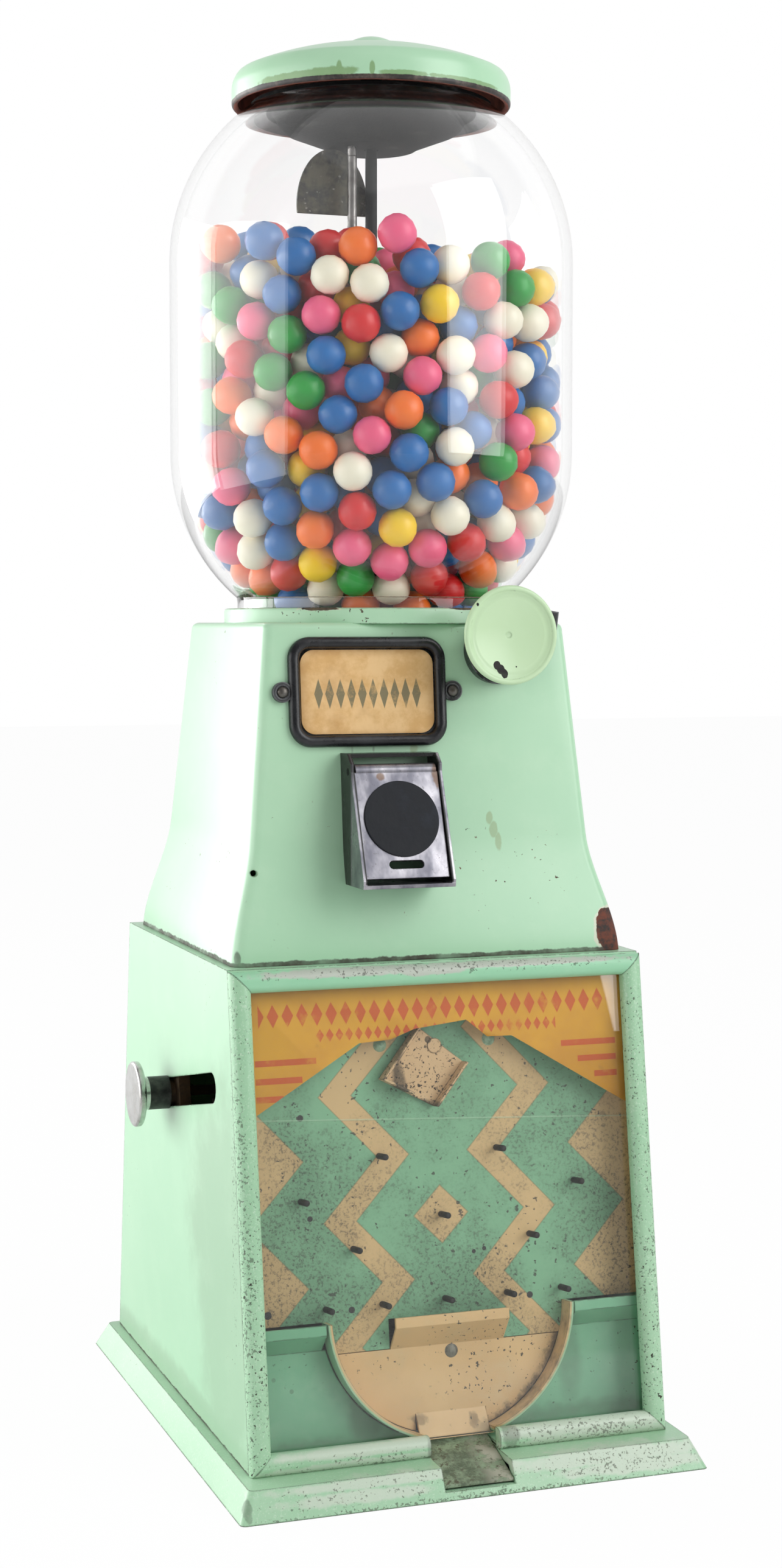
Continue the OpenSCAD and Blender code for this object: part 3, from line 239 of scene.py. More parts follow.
def most(tree, first, second):
    return maths(tree, "MAXIMUM", first, second)


def absolute(tree, value):
    return maths(tree, "ABSOLUTE", value)


def vectorMaths(tree, operation, *values):
    node = addNode(tree, "ShaderNodeVectorMath", {"operation": operation})
    for socket, value in zip(node.inputs, values):
        feed(tree, socket, value)
    return node.outputs["Value" if operation in ("DOT_PRODUCT", "LENGTH") else "Vector"]


def ramp(tree, value, low, high, lowTo=0.0, highTo=1.0):
    node = addNode(tree, "ShaderNodeMapRange", {"interpolation_type": "SMOOTHSTEP"})
    for socket, number in zip(node.inputs, (value, low, high, lowTo, highTo)):
        feed(tree, socket, number)
    return node.outputs[0]


def noise(tree, vector, scale, detail=3.0, roughness=0.55, stretch=None):
    if stretch:
        vector = vectorMaths(tree, "MULTIPLY", vector, stretch)
    node = addNode(
        tree, "ShaderNodeTexNoise", {"noise_dimensions": "3D"},
        {"Vector": vector, "Scale": scale, "Detail": detail, "Roughness": roughness},
    )
    return node.outputs[0]


def axesOf(tree, vector):
    return addNode(tree, "ShaderNodeSeparateXYZ", None, {"Vector": vector}).outputs


def mixColour(tree, share, first, second, blend="MIX"):
    node = addNode(tree, "ShaderNodeMix", {"data_type": "RGBA", "blend_type": blend})
    feed(tree, node.inputs["Factor"], share)
    feed(tree, node.inputs[6], first)
    feed(tree, node.inputs[7], second)
    return node.outputs[2]


def makeGroup(name, inputs, outputs):
    group = bpy.data.node_groups.new(name, "ShaderNodeTree")
    kinds = {"number": "NodeSocketFloat", "vector": "NodeSocketVector", "colour": "NodeSocketColor"}
    for label, kind, value in inputs:
        socket = group.interface.new_socket(label, in_out="INPUT", socket_type=kinds[kind])
        socket.default_value = value
    for label, kind in outputs:
        group.interface.new_socket(label, in_out="OUTPUT", socket_type=kinds[kind])
    start = group.nodes.new("NodeGroupInput").outputs
    end = group.nodes.new("NodeGroupOutput").inputs
    return group, start, end


def useGroup(tree, group, **inputs):
    node = tree.nodes.new("ShaderNodeGroup")
    node.node_tree = group
    for name, value in inputs.items():
        feed(tree, node.inputs[name], value)
    return node.outputs


def buildPatch():
    # a ragged spot round a centre, for paint loss, dirt and painted shade
    group, start, end = makeGroup(
        "paintPatch",
        [
            ("Vector", "vector", (0, 0, 0)),
            ("Centre", "vector", (0, 0, 0)),
            ("Size", "vector", (0.01, 0.01, 0.01)),
            ("Ragged", "number", 0.6),
            ("Grain", "number", 120.0),
            ("Soft", "number", 0.06),
        ],
        [("Mask", "number")],
    )
    away = vectorMaths(group, "SUBTRACT", start["Vector"], start["Centre"])
    away = vectorMaths(group, "LENGTH", vectorMaths(group, "DIVIDE", away, start["Size"]))
    rough = noise(group, start["Vector"], start["Grain"], 4.0, 0.6)
    rough = times(group, minus(group, rough, 0.5), start["Ragged"])
    reach = plus(group, away, times(group, rough, 4.0))
    group.links.new(ramp(group, reach, plus(group, 1.0, start["Soft"]), 1.0), end["Mask"])
    return group


def buildSpecks():
    # fine specks gathered in loose clouds
    group, start, end = makeGroup(
        "fineSpecks",
        [
            ("Vector", "vector", (0, 0, 0)),
            ("Scale", "number", 400.0),
            ("Level", "number", 0.66),
            ("Cloud", "number", 14.0),
            ("Spread", "number", 0.5),
        ],
        [("Mask", "number")],
    )
    fine = noise(group, start["Vector"], start["Scale"], 2.0, 0.6)
    cloud = noise(group, start["Vector"], start["Cloud"], 3.0, 0.6)
    level = minus(group, start["Level"], times(group, cloud, 0.12))
    dots = ramp(group, fine, level, plus(group, level, 0.03))
    veil = ramp(group, cloud, start["Spread"], plus(group, start["Spread"], 0.12))
    group.links.new(times(group, dots, veil), end["Mask"])
    return group


def buildEdgeRub():
    # paint or plate rubbed off where the surface bends sharply
    group, start, end = makeGroup(
        "edgeRub",
        [
            ("Vector", "vector", (0, 0, 0)),
            ("Rounded", "vector", (0, 0, 1)),
            ("Flat", "vector", (0, 0, 1)),
            ("Amount", "number", 0.5),
            ("Grain", "number", 160.0),
        ],
        [("Mask", "number")],
    )
    bend = minus(group, 1.0, vectorMaths(group, "DOT_PRODUCT", start["Rounded"], start["Flat"]))
    bend = ramp(group, bend, 0.004, 0.10)
    broken = noise(group, start["Vector"], start["Grain"], 5.0, 0.65)
    level = minus(group, 1.0, times(group, start["Amount"], 0.75))
    reach = times(group, bend, plus(group, broken, 0.25))
    group.links.new(ramp(group, reach, level, plus(group, level, 0.06)), end["Mask"])
    return group


def buildEnamel():
    # old gloss enamel: two close tones, bare spots, and grime that also carries painted shade
    group, start, end = makeGroup(
        "oldEnamel",
        [
            ("Vector", "vector", (0, 0, 0)),
            ("Paint", "colour", (0.4, 0.7, 0.5, 1)),
            ("Faded", "colour", (0.4, 0.7, 0.5, 1)),
            ("Bare", "colour", (0.05, 0.04, 0.03, 1)),
            ("Wear", "number", 0.0),
            ("Dirt", "number", 0.0),
            ("Gloss", "number", 0.28),
        ],
        [("Colour", "colour"), ("Roughness", "number"), ("Height", "number")],
    )
    broad = noise(group, start["Vector"], 7.0, 4.0, 0.6)
    colour = mixColour(group, ramp(group, broad, 0.38, 0.66), start["Paint"], start["Faded"])
    mottle = noise(group, start["Vector"], 60.0, 4.0, 0.7)
    colour = mixColour(
        group, times(group, ramp(group, mottle, 0.45, 0.75), 0.10), colour, (0.62, 0.80, 0.60, 1)
    )
    # dark brown for grime, and for painted shade at seams and beside the cup's wall
    dirtAndShade = times(group, start["Dirt"], ramp(group, mottle, 0.2, 0.65, 0.5, 1.0))
    colour = mixColour(group, dirtAndShade, colour, (0.045, 0.035, 0.025, 1))
    bareTone = noise(group, start["Vector"], 300.0, 4.0, 0.7)
    bare = mixColour(group, ramp(group, bareTone, 0.35, 0.7), start["Bare"], (0.02, 0.017, 0.015, 1))
    colour = mixColour(group, start["Wear"], colour, bare)
    group.links.new(colour, end["Colour"])
    rough = plus(group, start["Gloss"], times(group, mottle, 0.08))
    rough = plus(group, rough, times(group, most(group, start["Wear"], dirtAndShade), 0.4))
    group.links.new(rough, end["Roughness"])
    peel = noise(group, start["Vector"], 190.0, 2.0, 0.5)
    height = minus(group, times(group, peel, 0.12), times(group, start["Wear"], 0.6))
    group.links.new(height, end["Height"])
    return group


def buildFrontPlane():
    # place on the leaning front: across and up the slope, in millimetres
    group, start, end = makeGroup(
        "frontPlane", [("Vector", "vector", (0, 0, 0))], [("Across", "number"), ("Up", "number")]
    )
    axes = axesOf(group, start["Vector"])
    depth = times(group, minus(group, axes["Y"], place["cabinetFront"] / 1000), 1000 * math.sin(leanFront))
    rise = times(group, minus(group, axes["Z"], place["baseTop"] / 1000), 1000 * math.cos(leanFront))
    group.links.new(times(group, axes["X"], 1000.0), end["Across"])
    group.links.new(plus(group, depth, rise), end["Up"])
    return group


zigzag = {
    "low": 67.5, "high": 24.7, "slope": 0.94, "inner": 12.4, "outer": 26.0, "points": 56.5,
    "diamondUp": 92.3, "diamond": 11.5,
}


def buildZigzag():
    # cream bands, side points and middle diamond of the playfield
    group, start, end = makeGroup(
        "zigzagField",
        [("Across", "number", 0.0), ("Up", "number", 0.0)],
        [("Cream", "number"), ("Line", "number")],
    )
    side = absolute(group, start["Across"])
    wave = maths(group, "PINGPONG", minus(group, start["Up"], zigzag["low"]), zigzag["high"])
    slope = times(group, wave, zigzag["slope"])
    inner = minus(group, side, plus(group, slope, zigzag["inner"]))
    outer = minus(group, plus(group, slope, zigzag["outer"]), side)
    band = maths(group, "MINIMUM", inner, outer)
    points = minus(group, side, plus(group, slope, zigzag["points"]))
    high = absolute(group, minus(group, start["Up"], zigzag["diamondUp"]))
    diamond = times(group, minus(group, zigzag["diamond"], plus(group, side, high)), 0.8)
    reach = most(group, most(group, band, points), diamond)
    group.links.new(ramp(group, reach, -0.18, 0.18), end["Cream"])
    group.links.new(ramp(group, absolute(group, reach), 0.55, 0.12), end["Line"])
    return group


groups = {
    "patch": buildPatch(),
    "specks": buildSpecks(),
    "edge": buildEdgeRub(),
    "enamel": buildEnamel(),
    "front": buildFrontPlane(),
    "zigzag": buildZigzag(),
}


def startMaterial(name):
    material = bpy.data.materials.new(name)
    material.use_nodes = True
    tree = material.node_tree
    shader = tree.nodes["Principled BSDF"]
    vector = addNode(tree, "ShaderNodeTexCoord").outputs["Object"]
    return material, tree, shader, vector


def roundedNormal(tree, radius):
    return addNode(tree, "ShaderNodeBevel", {"samples": 4}, {"Radius": radius}).outputs["Normal"]


def coatWith(tree, shader, colour, roughness):
    feed(tree, shader.inputs["Base Color"], colour)
    feed(tree, shader.inputs["Roughness"], roughness)


def faceNormal(tree):
    return addNode(tree, "ShaderNodeNewGeometry").outputs["True Normal"]


def bumpInto(tree, shader, height, distance, strength, normal=None):
    node = addNode(
        tree, "ShaderNodeBump", None, {"Height": height, "Distance": distance, "Strength": strength}
    )
    if normal is not None:
        feed(tree, node.inputs["Normal"], normal)
    feed(tree, shader.inputs["Normal"], node.outputs["Normal"])


def putCoat(tree, shader, coat, rounded):
    coatWith(tree, shader, coat["Colour"], coat["Roughness"])
    bumpInto(tree, shader, coat["Height"], 0.0003, 0.6, rounded)


def edgeMask(tree, vector, rounded, amount, grain=160.0):
    return useGroup(
        tree, groups["edge"], Vector=vector, Rounded=rounded, Flat=faceNormal(tree), Amount=amount,
        Grain=grain,
    )["Mask"]


def speckMask(tree, vector, scale, level, spread):
    return useGroup(tree, groups["specks"], Vector=vector, Scale=scale, Level=level, Spread=spread)["Mask"]


def strongest(tree, masks):
    mask = masks[0]
    for one in masks[1:]:
        mask = most(tree, mask, one)
    return mask


def patches(tree, vector, spots):
    masks = []
    for centre, size, ragged, grain, soft in spots:
        masks.append(useGroup(
            tree, groups["patch"], Vector=vector, Centre=metres(centre), Size=metres(size), Ragged=ragged,
            Grain=grain, Soft=soft,
        )["Mask"])
    return strongest(tree, masks)


def grown(spots, share):
    return [(centre, [one * share for one in size], *rest) for centre, size, *rest in spots]


def edgeSpecks(tree, vector, bands):
    # fine specks in strips, each a middle, half sizes and how dense it is
    fine = noise(tree, vector, 900.0, 2.0, 0.6)
    coarse = noise(tree, vector, 200.0, 3.0, 0.7)
    blend = plus(tree, times(tree, fine, 0.7), times(tree, coarse, 0.3))
    masks = []
    for centre, size, level in bands:
        away = vectorMaths(tree, "SUBTRACT", vector, metres(centre))
        away = vectorMaths(tree, "LENGTH", vectorMaths(tree, "DIVIDE", away, metres(size)))
        near = ramp(tree, away, 1.2, 0.3)
        reach = plus(tree, blend, times(tree, near, level))
        masks.append(times(tree, ramp(tree, reach, 0.605, 0.65), ramp(tree, near, 0.0, 0.2)))
    return strongest(tree, masks)


def seamLine(tree, vector, seam):
    # painted contact shadow: a dark uneven line round the part at one height, where it meets the next part
    level, half = seam
    height = axesOf(tree, vector)["Z"]
    ragged = times(tree, minus(tree, noise(tree, vector, 170.0, 5.0, 0.7), 0.5), 0.0026)
    away = absolute(tree, plus(tree, minus(tree, height, level / 1000), ragged))
    return ramp(tree, away, half / 1000, half / 1600)


def enamelPaint(name, look):
    material, tree, shader, vector = startMaterial(name)
    rounded = roundedNormal(tree, 0.0008)
    rub = edgeMask(tree, vector, rounded, look["rub"])
    specks = speckMask(
        tree, vector, look.get("speckScale", 520.0), look["speckLevel"], look.get("speckSpread", 0.52)
    )
    wear = most(tree, rub, specks)
    if look.get("speckBands"):
        bands = times(tree, edgeSpecks(tree, vector, look["speckBands"]), look.get("bandDepth", 0.62))
        wear = most(tree, wear, bands)
    over = []
    if look.get("paleFlecks"):
        pale = ramp(tree, noise(tree, vector, 1250.0, 2.0, 0.6), 0.57, 0.66)
        over.append((times(tree, pale, look["paleFlecks"]), tone(216, 232, 214)))
    if look.get("stainsAndShade"):
        # thin stains and painted shade let the paint show through, with their own tone
        stain = times(tree, patches(tree, vector, look["stainsAndShade"]), look["stainAndShadeDepth"])
        over.append((stain, look["stainAndShadeTone"]))
    if look.get("bareSpots"):
        # a pale line of undercoat shows round each chip
        over.append((patches(tree, vector, grown(look["bareSpots"], 1.12)), tone(206, 212, 190)))
        wear = most(tree, wear, patches(tree, vector, look["bareSpots"]))
    paint, faded = look["paint"], look["faded"]
    for share, tint in over:
        paint = mixColour(tree, share, paint, tint)
        faded = mixColour(tree, share, faded, tint)
    grime = []
    if look.get("dirtAndShadeSpots"):
        grime.append(times(tree, patches(tree, vector, look["dirtAndShadeSpots"]), look["dirtAndShadeDepth"]))
    # the seam is painted contact shadow, carried in the dirt-and-shade mask
    if look.get("seam"):
        grime.append(times(tree, seamLine(tree, vector, look["seam"]), 0.97))
    dirtAndShade = strongest(tree, grime) if grime else 0.0
    coat = useGroup(
        tree, groups["enamel"], Vector=vector, Paint=paint, Faded=faded,
        Bare=look.get("bare", tone(96, 62, 40)), Wear=wear, Dirt=dirtAndShade, Gloss=look.get("gloss", 0.26),
    )
    putCoat(tree, shader, coat, rounded)
    return material


def plainMetal(name, look):
    material, tree, shader, vector = startMaterial(name)
    rounded = roundedNormal(tree, 0.0005)
    cloud = noise(tree, vector, 60.0, 4.0, 0.65)
    fine = noise(tree, vector, 500.0, 3.0, 0.6)
    colour = mixColour(tree, ramp(tree, cloud, 0.35, 0.7), look["colour"], look["worn"])
    specks = speckMask(tree, vector, 420.0, look.get("speckLevel", 0.7), 0.45)
    colour = mixColour(tree, times(tree, specks, 0.7), colour, tone(60, 48, 38))
    feed(tree, shader.inputs["Base Color"], colour)
    shader.inputs["Metallic"].default_value = look.get("metallic", 1.0)
    low, high = look["rough"]
    feed(tree, shader.inputs["Roughness"], ramp(tree, cloud, 0.3, 0.75, low, high))
    bumpInto(tree, shader, fine, 0.00015, look.get("bump", 0.4), rounded)
    return material


def blackPaint(name, look):
    material, tree, shader, vector = startMaterial(name)
    rounded = roundedNormal(tree, look.get("edge", 0.0006))
    cloud = noise(tree, vector, 45.0, 5.0, 0.7)
    colour = mixColour(tree, ramp(tree, cloud, 0.45, 0.75), look["colour"], look["dust"])
    if look.get("rub"):
        rub = edgeMask(tree, vector, rounded, look["rub"], 90.0)
        colour = mixColour(tree, rub, colour, tone(132, 134, 136))
    feed(tree, shader.inputs["Base Color"], colour)
    low, high = look["rough"]
    feed(tree, shader.inputs["Roughness"], ramp(tree, cloud, 0.35, 0.7, low, high))
    shader.inputs["Specular IOR Level"].default_value = look.get("specular", 0.5)
    bumpInto(tree, shader, noise(tree, vector, 260.0), 0.0003, 0.3, rounded)
    return material


def shadeOver(tree, share, first, second):
    # the second shader shows by its share
    mix = addNode(tree, "ShaderNodeMixShader")
    for socket, value in zip(mix.inputs, (share, first.outputs[0], second.outputs[0])):
        feed(tree, socket, value)
    feed(tree, tree.nodes["Material Output"].inputs["Surface"], mix.outputs[0])


def clearGlass(name, look):
    material, tree, shader, vector = startMaterial(name)
    shader.inputs["Base Color"].default_value = look["colour"]
    shader.inputs["Transmission Weight"].default_value = 1.0
    shader.inputs["IOR"].default_value = 1.45
    smear = noise(tree, vector, 35.0, 5.0, 0.7)
    feed(tree, shader.inputs["Roughness"], ramp(tree, smear, 0.5, 0.8, 0.0, look["smear"]))
    through = addNode(tree, "ShaderNodeBsdfTransparent", None, {"Color": look["shade"]})
    path = addNode(tree, "ShaderNodeLightPath").outputs
    share = most(tree, path["Is Shadow Ray"], path["Is Diffuse Ray"])
    shadeOver(tree, share, shader, through)
    return material


def dress(names, material):
    for name in names:
        node = cadNodes[name]
        node.data.materials.clear()
        node.data.materials.append(material)


# paints

mint = {"paint": tone(170, 213, 178), "faded": tone(178, 218, 184)}
railMint = {"paint": tone(158, 202, 165), "faded": tone(168, 208, 173)}

housingPaint = enamelPaint("housingEnamel", {
    **mint, "rub": 0.35, "speckLevel": 0.78, "bare": tone(112, 54, 33), "seam": (201.8, 1.7),
    "bareSpots": [
        ((80.2, -68, 209.6), (8.6, 9, 9.9), 0.12, 180.0, 0.05),
        ((76.2, -66, 215.6), (3.2, 9, 3.2), 0.16, 260.0, 0.05),
    ],
    "dirtAndShadeSpots": [
        ((-80.9, -70, 204.6), (1.0, 9, 2.6), 0.22, 260.0, 0.4),
        ((-29.5, -64, 285.5), (0.9, 7, 3.0), 0.14, 240.0, 0.5),
        ((-20.5, -64, 285.5), (0.8, 7, 2.2), 0.14, 240.0, 0.5),
    ],
    "dirtAndShadeDepth": 0.8,
    "stainsAndShade": [
        ((28.4, -62, 256.5), (1.3, 9, 2.4), 0.24, 260.0, 0.4),
        ((30.0, -62, 252.0), (1.5, 9, 3.0), 0.24, 260.0, 0.4),
        ((32.0, -62, 247.0), (1.3, 9, 3.0), 0.24, 260.0, 0.4),
        ((-3.2, -62, 285.5), (1.6, 9, 1.8), 0.30, 260.0, 0.5),
    ],
    "stainAndShadeTone": tone(146, 164, 118), "stainAndShadeDepth": 0.6,
})
collarPaint = enamelPaint("collarEnamel", {
    **mint, "rub": 0.3, "speckLevel": 0.75,
    "bareSpots": [
        ((-40, -42, 341.6), (8, 8, 0.8), 0.45, 260.0, 0.05),
        ((22, -52, 341.8), (10, 8, 0.7), 0.45, 260.0, 0.05),
    ],
    "bare": tone(96, 84, 62),
})
cabinetPaint = enamelPaint("cabinetEnamel", {
    **mint, "rub": 0.45, "speckLevel": 0.77, "bare": tone(70, 64, 48), "seam": (11.0, 0.9),
    "speckBands": [
        ((-87, -104, 40), (2, 5, 60), 0.07), ((-87, -84, 140), (2, 5, 80), 0.05),
        ((87, 0, 13), (3, 130, 5), 0.08)
    ],
    # painted shade: the left wall darker and duller towards the front and along the bottom
    "stainsAndShade": [
        ((-87, -72, 70), (5, 26, 58), 0.30, 60.0, 0.9), ((-87, -60, 96), (5, 30, 34), 0.30, 60.0, 0.9),
        ((-87, 10, 14), (5, 120, 6), 0.30, 90.0, 0.9),
    ],
    "stainAndShadeTone": tone(140, 172, 140), "stainAndShadeDepth": 0.5,
})
stilePaint = enamelPaint("stileEnamel", {
    **railMint, "rub": 0.45, "speckScale": 620.0, "speckLevel": 0.71, "speckSpread": 0.44,
    "paleFlecks": 0.4,
    "speckBands": [
        ((-86.6, -95, 100), (5, 30, 112), 0.075), ((86.6, -95, 100), (5, 30, 112), 0.065),
        ((-88, -95, 100), (1.2, 30, 112), 0.12), ((-80, -95, 100), (4, 30, 112), 0.03),
        ((80, -95, 100), (4, 30, 112), 0.03),
    ],
    "bare": tone(62, 66, 50),
})
topRailPaint = enamelPaint("topRailEnamel", {
    "paint": tone(150, 206, 168), "faded": tone(164, 214, 178), "rub": 0.5, "speckLevel": 0.77,
    "seam": (201.9, 0.8),
    "speckBands": [((0, -79, 199), (90, 8, 2.4), 0.06)],
    "bare": tone(60, 52, 42),
    "stainsAndShade": [
        ((-34, -79, 199.4), (34, 9, 1.5), 0.34, 240.0, 0.5),
        ((24, -79, 199.8), (44, 9, 1.1), 0.40, 240.0, 0.5),
        ((-6, -79, 198.6), (12, 9, 1.6), 0.40, 240.0, 0.5),
    ],
    "stainAndShadeTone": tone(190, 190, 182), "stainAndShadeDepth": 0.85,
})
bottomRailPaint = enamelPaint("bottomRailEnamel", {
    **railMint, "rub": 0.5, "speckScale": 620.0, "speckLevel": 0.76, "paleFlecks": 0.35,
    "speckBands": [
        ((50, -108, 15), (42, 9, 6.0), 0.065), ((-46, -108, 13.5), (42, 9, 3.6), 0.04),
        ((0, -108, 11.4), (90, 9, 1.4), 0.09),
    ],
    "bare": tone(96, 96, 80),
    "dirtAndShadeSpots": [
        ((19, -106, 17), (2.6, 12, 6), 0.4, 190.0, 0.5), ((-14, -106, 15), (1.6, 9, 4), 0.3, 190.0, 0.5)
    ],
    "dirtAndShadeDepth": 0.45,
    "stainsAndShade": [
        ((52, -108, 17), (32, 9, 2.6), 0.42, 150.0, 0.7),
        ((60, -108, 12.6), (30, 9, 1.8), 0.42, 150.0, 0.7),
        ((-40, -108, 17.4), (30, 9, 1.6), 0.42, 150.0, 0.7),
        ((-30, -108, 12.4), (40, 9, 1.4), 0.42, 150.0, 0.7),
    ],
    "stainAndShadeTone": tone(206, 214, 200), "stainAndShadeDepth": 0.75,
})
basePaint = enamelPaint("baseEnamel", {
    **railMint, "rub": 0.5, "speckScale": 620.0, "speckLevel": 0.76, "paleFlecks": 0.3,
    "speckBands": [
        ((60, -120, 6), (40, 9, 6), 0.055), ((-30, -120, 6), (60, 9, 6), 0.03),
        ((0, -125, 0.8), (97, 5, 1.2), 0.10),
    ],
    "bare": tone(96, 96, 80),
    "dirtAndShadeSpots": [((-93, -121, 3), (1.6, 3, 6), 0.3, 200.0, 0.3)],
    "dirtAndShadeDepth": 0.5,
    "stainsAndShade": [
        ((56, -119, 8.4), (34, 9, 2.2), 0.42, 140.0, 0.7),
        ((66, -121, 4.2), (26, 9, 1.8), 0.42, 140.0, 0.7),
        ((-24, -119, 9.2), (44, 9, 1.3), 0.42, 140.0, 0.7),
        ((-50, -121, 5), (22, 9, 1.6), 0.42, 140.0, 0.7),
    ],
    "stainAndShadeTone": tone(204, 212, 198), "stainAndShadeDepth": 0.7,
})
doorPaint = enamelPaint("doorEnamel", {
    **railMint, "rub": 0.5, "speckLevel": 0.74,
    "dirtAndShadeSpots": [((0, 95, 168), (18, 9, 16), 0.3, 120.0, 0.9)], "dirtAndShadeDepth": 0.4,
})
pocketPaint = enamelPaint("pocketEnamel", {
    "paint": tone(108, 166, 130), "faded": tone(118, 174, 140), "rub": 0.4, "speckLevel": 0.75,
    # the tall spots at x -36 and x 52 are painted shade beside the cup's wall; the wide low bands darken
    # the bottom of each pocket, and two small dots mark the left cover
    "dirtAndShadeSpots": [
        ((-36, -94, 30), (5, 12, 16), 0.30, 120.0, 0.9), ((-60, -90, 12), (34, 14, 4), 0.35, 160.0, 0.9),
        ((60, -90, 14), (34, 14, 5), 0.35, 160.0, 0.9), ((52, -94, 40), (4, 12, 12), 0.30, 120.0, 0.9),
        ((-72.5, -90, 42), (0.8, 9, 0.8), 0.10, 260.0, 0.3),
        ((-65.4, -90, 37), (0.8, 9, 0.8), 0.10, 260.0, 0.3),
    ],
    "dirtAndShadeDepth": 0.42, "bare": tone(44, 44, 32),
})
trayPaint = enamelPaint("trayEnamel", {
    "paint": tone(206, 170, 128), "faded": tone(194, 156, 114), "rub": 0.45, "speckScale": 560.0,
    "speckLevel": 0.70, "speckSpread": 0.42, "bare": tone(62, 48, 36), "gloss": 0.38, "bandDepth": 0.9,
    "speckBands": [((-4, -77, 157), (26, 12, 26), 0.05), ((-15, -77, 146), (7, 12, 20), 0.09)],
    "dirtAndShadeSpots": [
        ((-2.6, -77, 169), (1.5, 12, 1.5), 0.06, 260.0, 0.2),
        ((-16, -79, 150), (2.2, 12, 12), 0.30, 160.0, 0.7),
        ((-8, -79, 143), (9, 12, 2.0), 0.30, 160.0, 0.7),
    ],
    "dirtAndShadeDepth": 0.9,
})


def fromCupMiddle(tree, front):
    up = minus(tree, front["Up"], place["cupMiddle"])
    return maths(
        tree, "SQRT", plus(tree, maths(tree, "POWER", front["Across"], 2.0), maths(tree, "POWER", up, 2.0))
    )


def catchPaint():
    # cream plate, browned where pennies rub along the ring at the lower right
    material, tree, shader, vector = startMaterial("catchEnamel")
    rounded = roundedNormal(tree, 0.0006)
    front = useGroup(tree, groups["front"], Vector=vector)
    reach = fromCupMiddle(tree, front)
    cloud = noise(tree, vector, 120.0, 5.0, 0.75)
    ragged = times(tree, minus(tree, cloud, 0.5), 12.0)
    rim = ramp(tree, plus(tree, reach, ragged), 46.0, 50.0)
    side = ramp(tree, front["Across"], 2.0, 22.0)
    grime = times(tree, times(tree, rim, side), 0.8)
    broad = noise(tree, vector, 30.0, 4.0, 0.6)
    cream = mixColour(tree, ramp(tree, broad, 0.4, 0.65), tone(214, 177, 128), tone(204, 166, 118))
    spots = patches(tree, vector, [
        ((-14, -98, 21.5), (3.0, 12, 1.4), 0.55, 300.0, 0.7),
        ((9, -98, 19.5), (1.8, 12, 1.8), 0.55, 300.0, 0.7),
    ])
    specks = speckMask(tree, vector, 620.0, 0.725, 0.42)
    bare = most(tree, times(tree, spots, 0.5), specks)
    coat = useGroup(
        tree, groups["enamel"], Vector=vector, Paint=cream, Faded=cream, Bare=tone(96, 84, 70), Wear=bare,
        Dirt=grime, Gloss=0.36,
    )
    putCoat(tree, shader, coat, rounded)
    return material


def lidPaint():
    # mint outside down to a bare steel bead, rust inside, olive wear rising from the paint's edge
    material, tree, shader, vector = startMaterial("lidEnamel")
    rounded = roundedNormal(tree, 0.0008)
    wear = edgeMask(tree, vector, rounded, 0.25)
    olive = patches(tree, vector, [
        ((-45, -30, 554.6), (16, 16, 1.3), 0.42, 240.0, 0.5),
        ((-33, -42, 554.8), (8, 10, 1.6), 0.42, 240.0, 0.5),
        ((-30.5, -43, 556.2), (0.8, 9, 2.6), 0.18, 260.0, 0.4),
        ((-18.5, -48, 556.0), (0.9, 9, 2.4), 0.20, 260.0, 0.4),
        ((-6, -52, 554.2), (9, 9, 1.0), 0.42, 260.0, 0.5),
        ((25, -46, 554.2), (24, 9, 0.7), 0.42, 260.0, 0.5),
    ])
    coat = useGroup(
        tree, groups["enamel"], Vector=vector,
        Paint=mixColour(tree, times(tree, olive, 0.75), mint["paint"], tone(112, 146, 90)),
        Faded=mixColour(tree, times(tree, olive, 0.75), mint["faded"], tone(124, 156, 98)),
        Bare=tone(70, 64, 42), Wear=wear, Gloss=0.26,
    )
    cloud = noise(tree, vector, 140.0, 5.0, 0.7)
    height = axesOf(tree, vector)["Z"]
    edge = plus(tree, height, times(tree, minus(tree, cloud, 0.5), 0.0012))
    bead = ramp(tree, edge, 0.5537, 0.5534)
    steel = mixColour(tree, ramp(tree, cloud, 0.4, 0.7), tone(44, 40, 38), tone(96, 84, 76))
    outward = vectorMaths(tree, "SUBTRACT", vector, (0, place["axisY"] / 1000, 0.53))
    outward = vectorMaths(tree, "NORMALIZE", outward)
    inside = ramp(tree, vectorMaths(tree, "DOT_PRODUCT", outward, faceNormal(tree)), -0.02, -0.12)
    rust = mixColour(tree, ramp(tree, cloud, 0.35, 0.7), tone(150, 84, 66), tone(92, 48, 38))
    colour = mixColour(tree, bead, coat["Colour"], steel)
    colour = mixColour(tree, inside, colour, rust)
    feed(tree, shader.inputs["Base Color"], colour)
    rough = most(tree, coat["Roughness"], times(tree, inside, 0.75))
    feed(tree, shader.inputs["Roughness"], most(tree, rough, times(tree, bead, 0.42)))
    bumpInto(tree, shader, coat["Height"], 0.0003, 0.6, rounded)
    return material


lidLook = lidPaint()


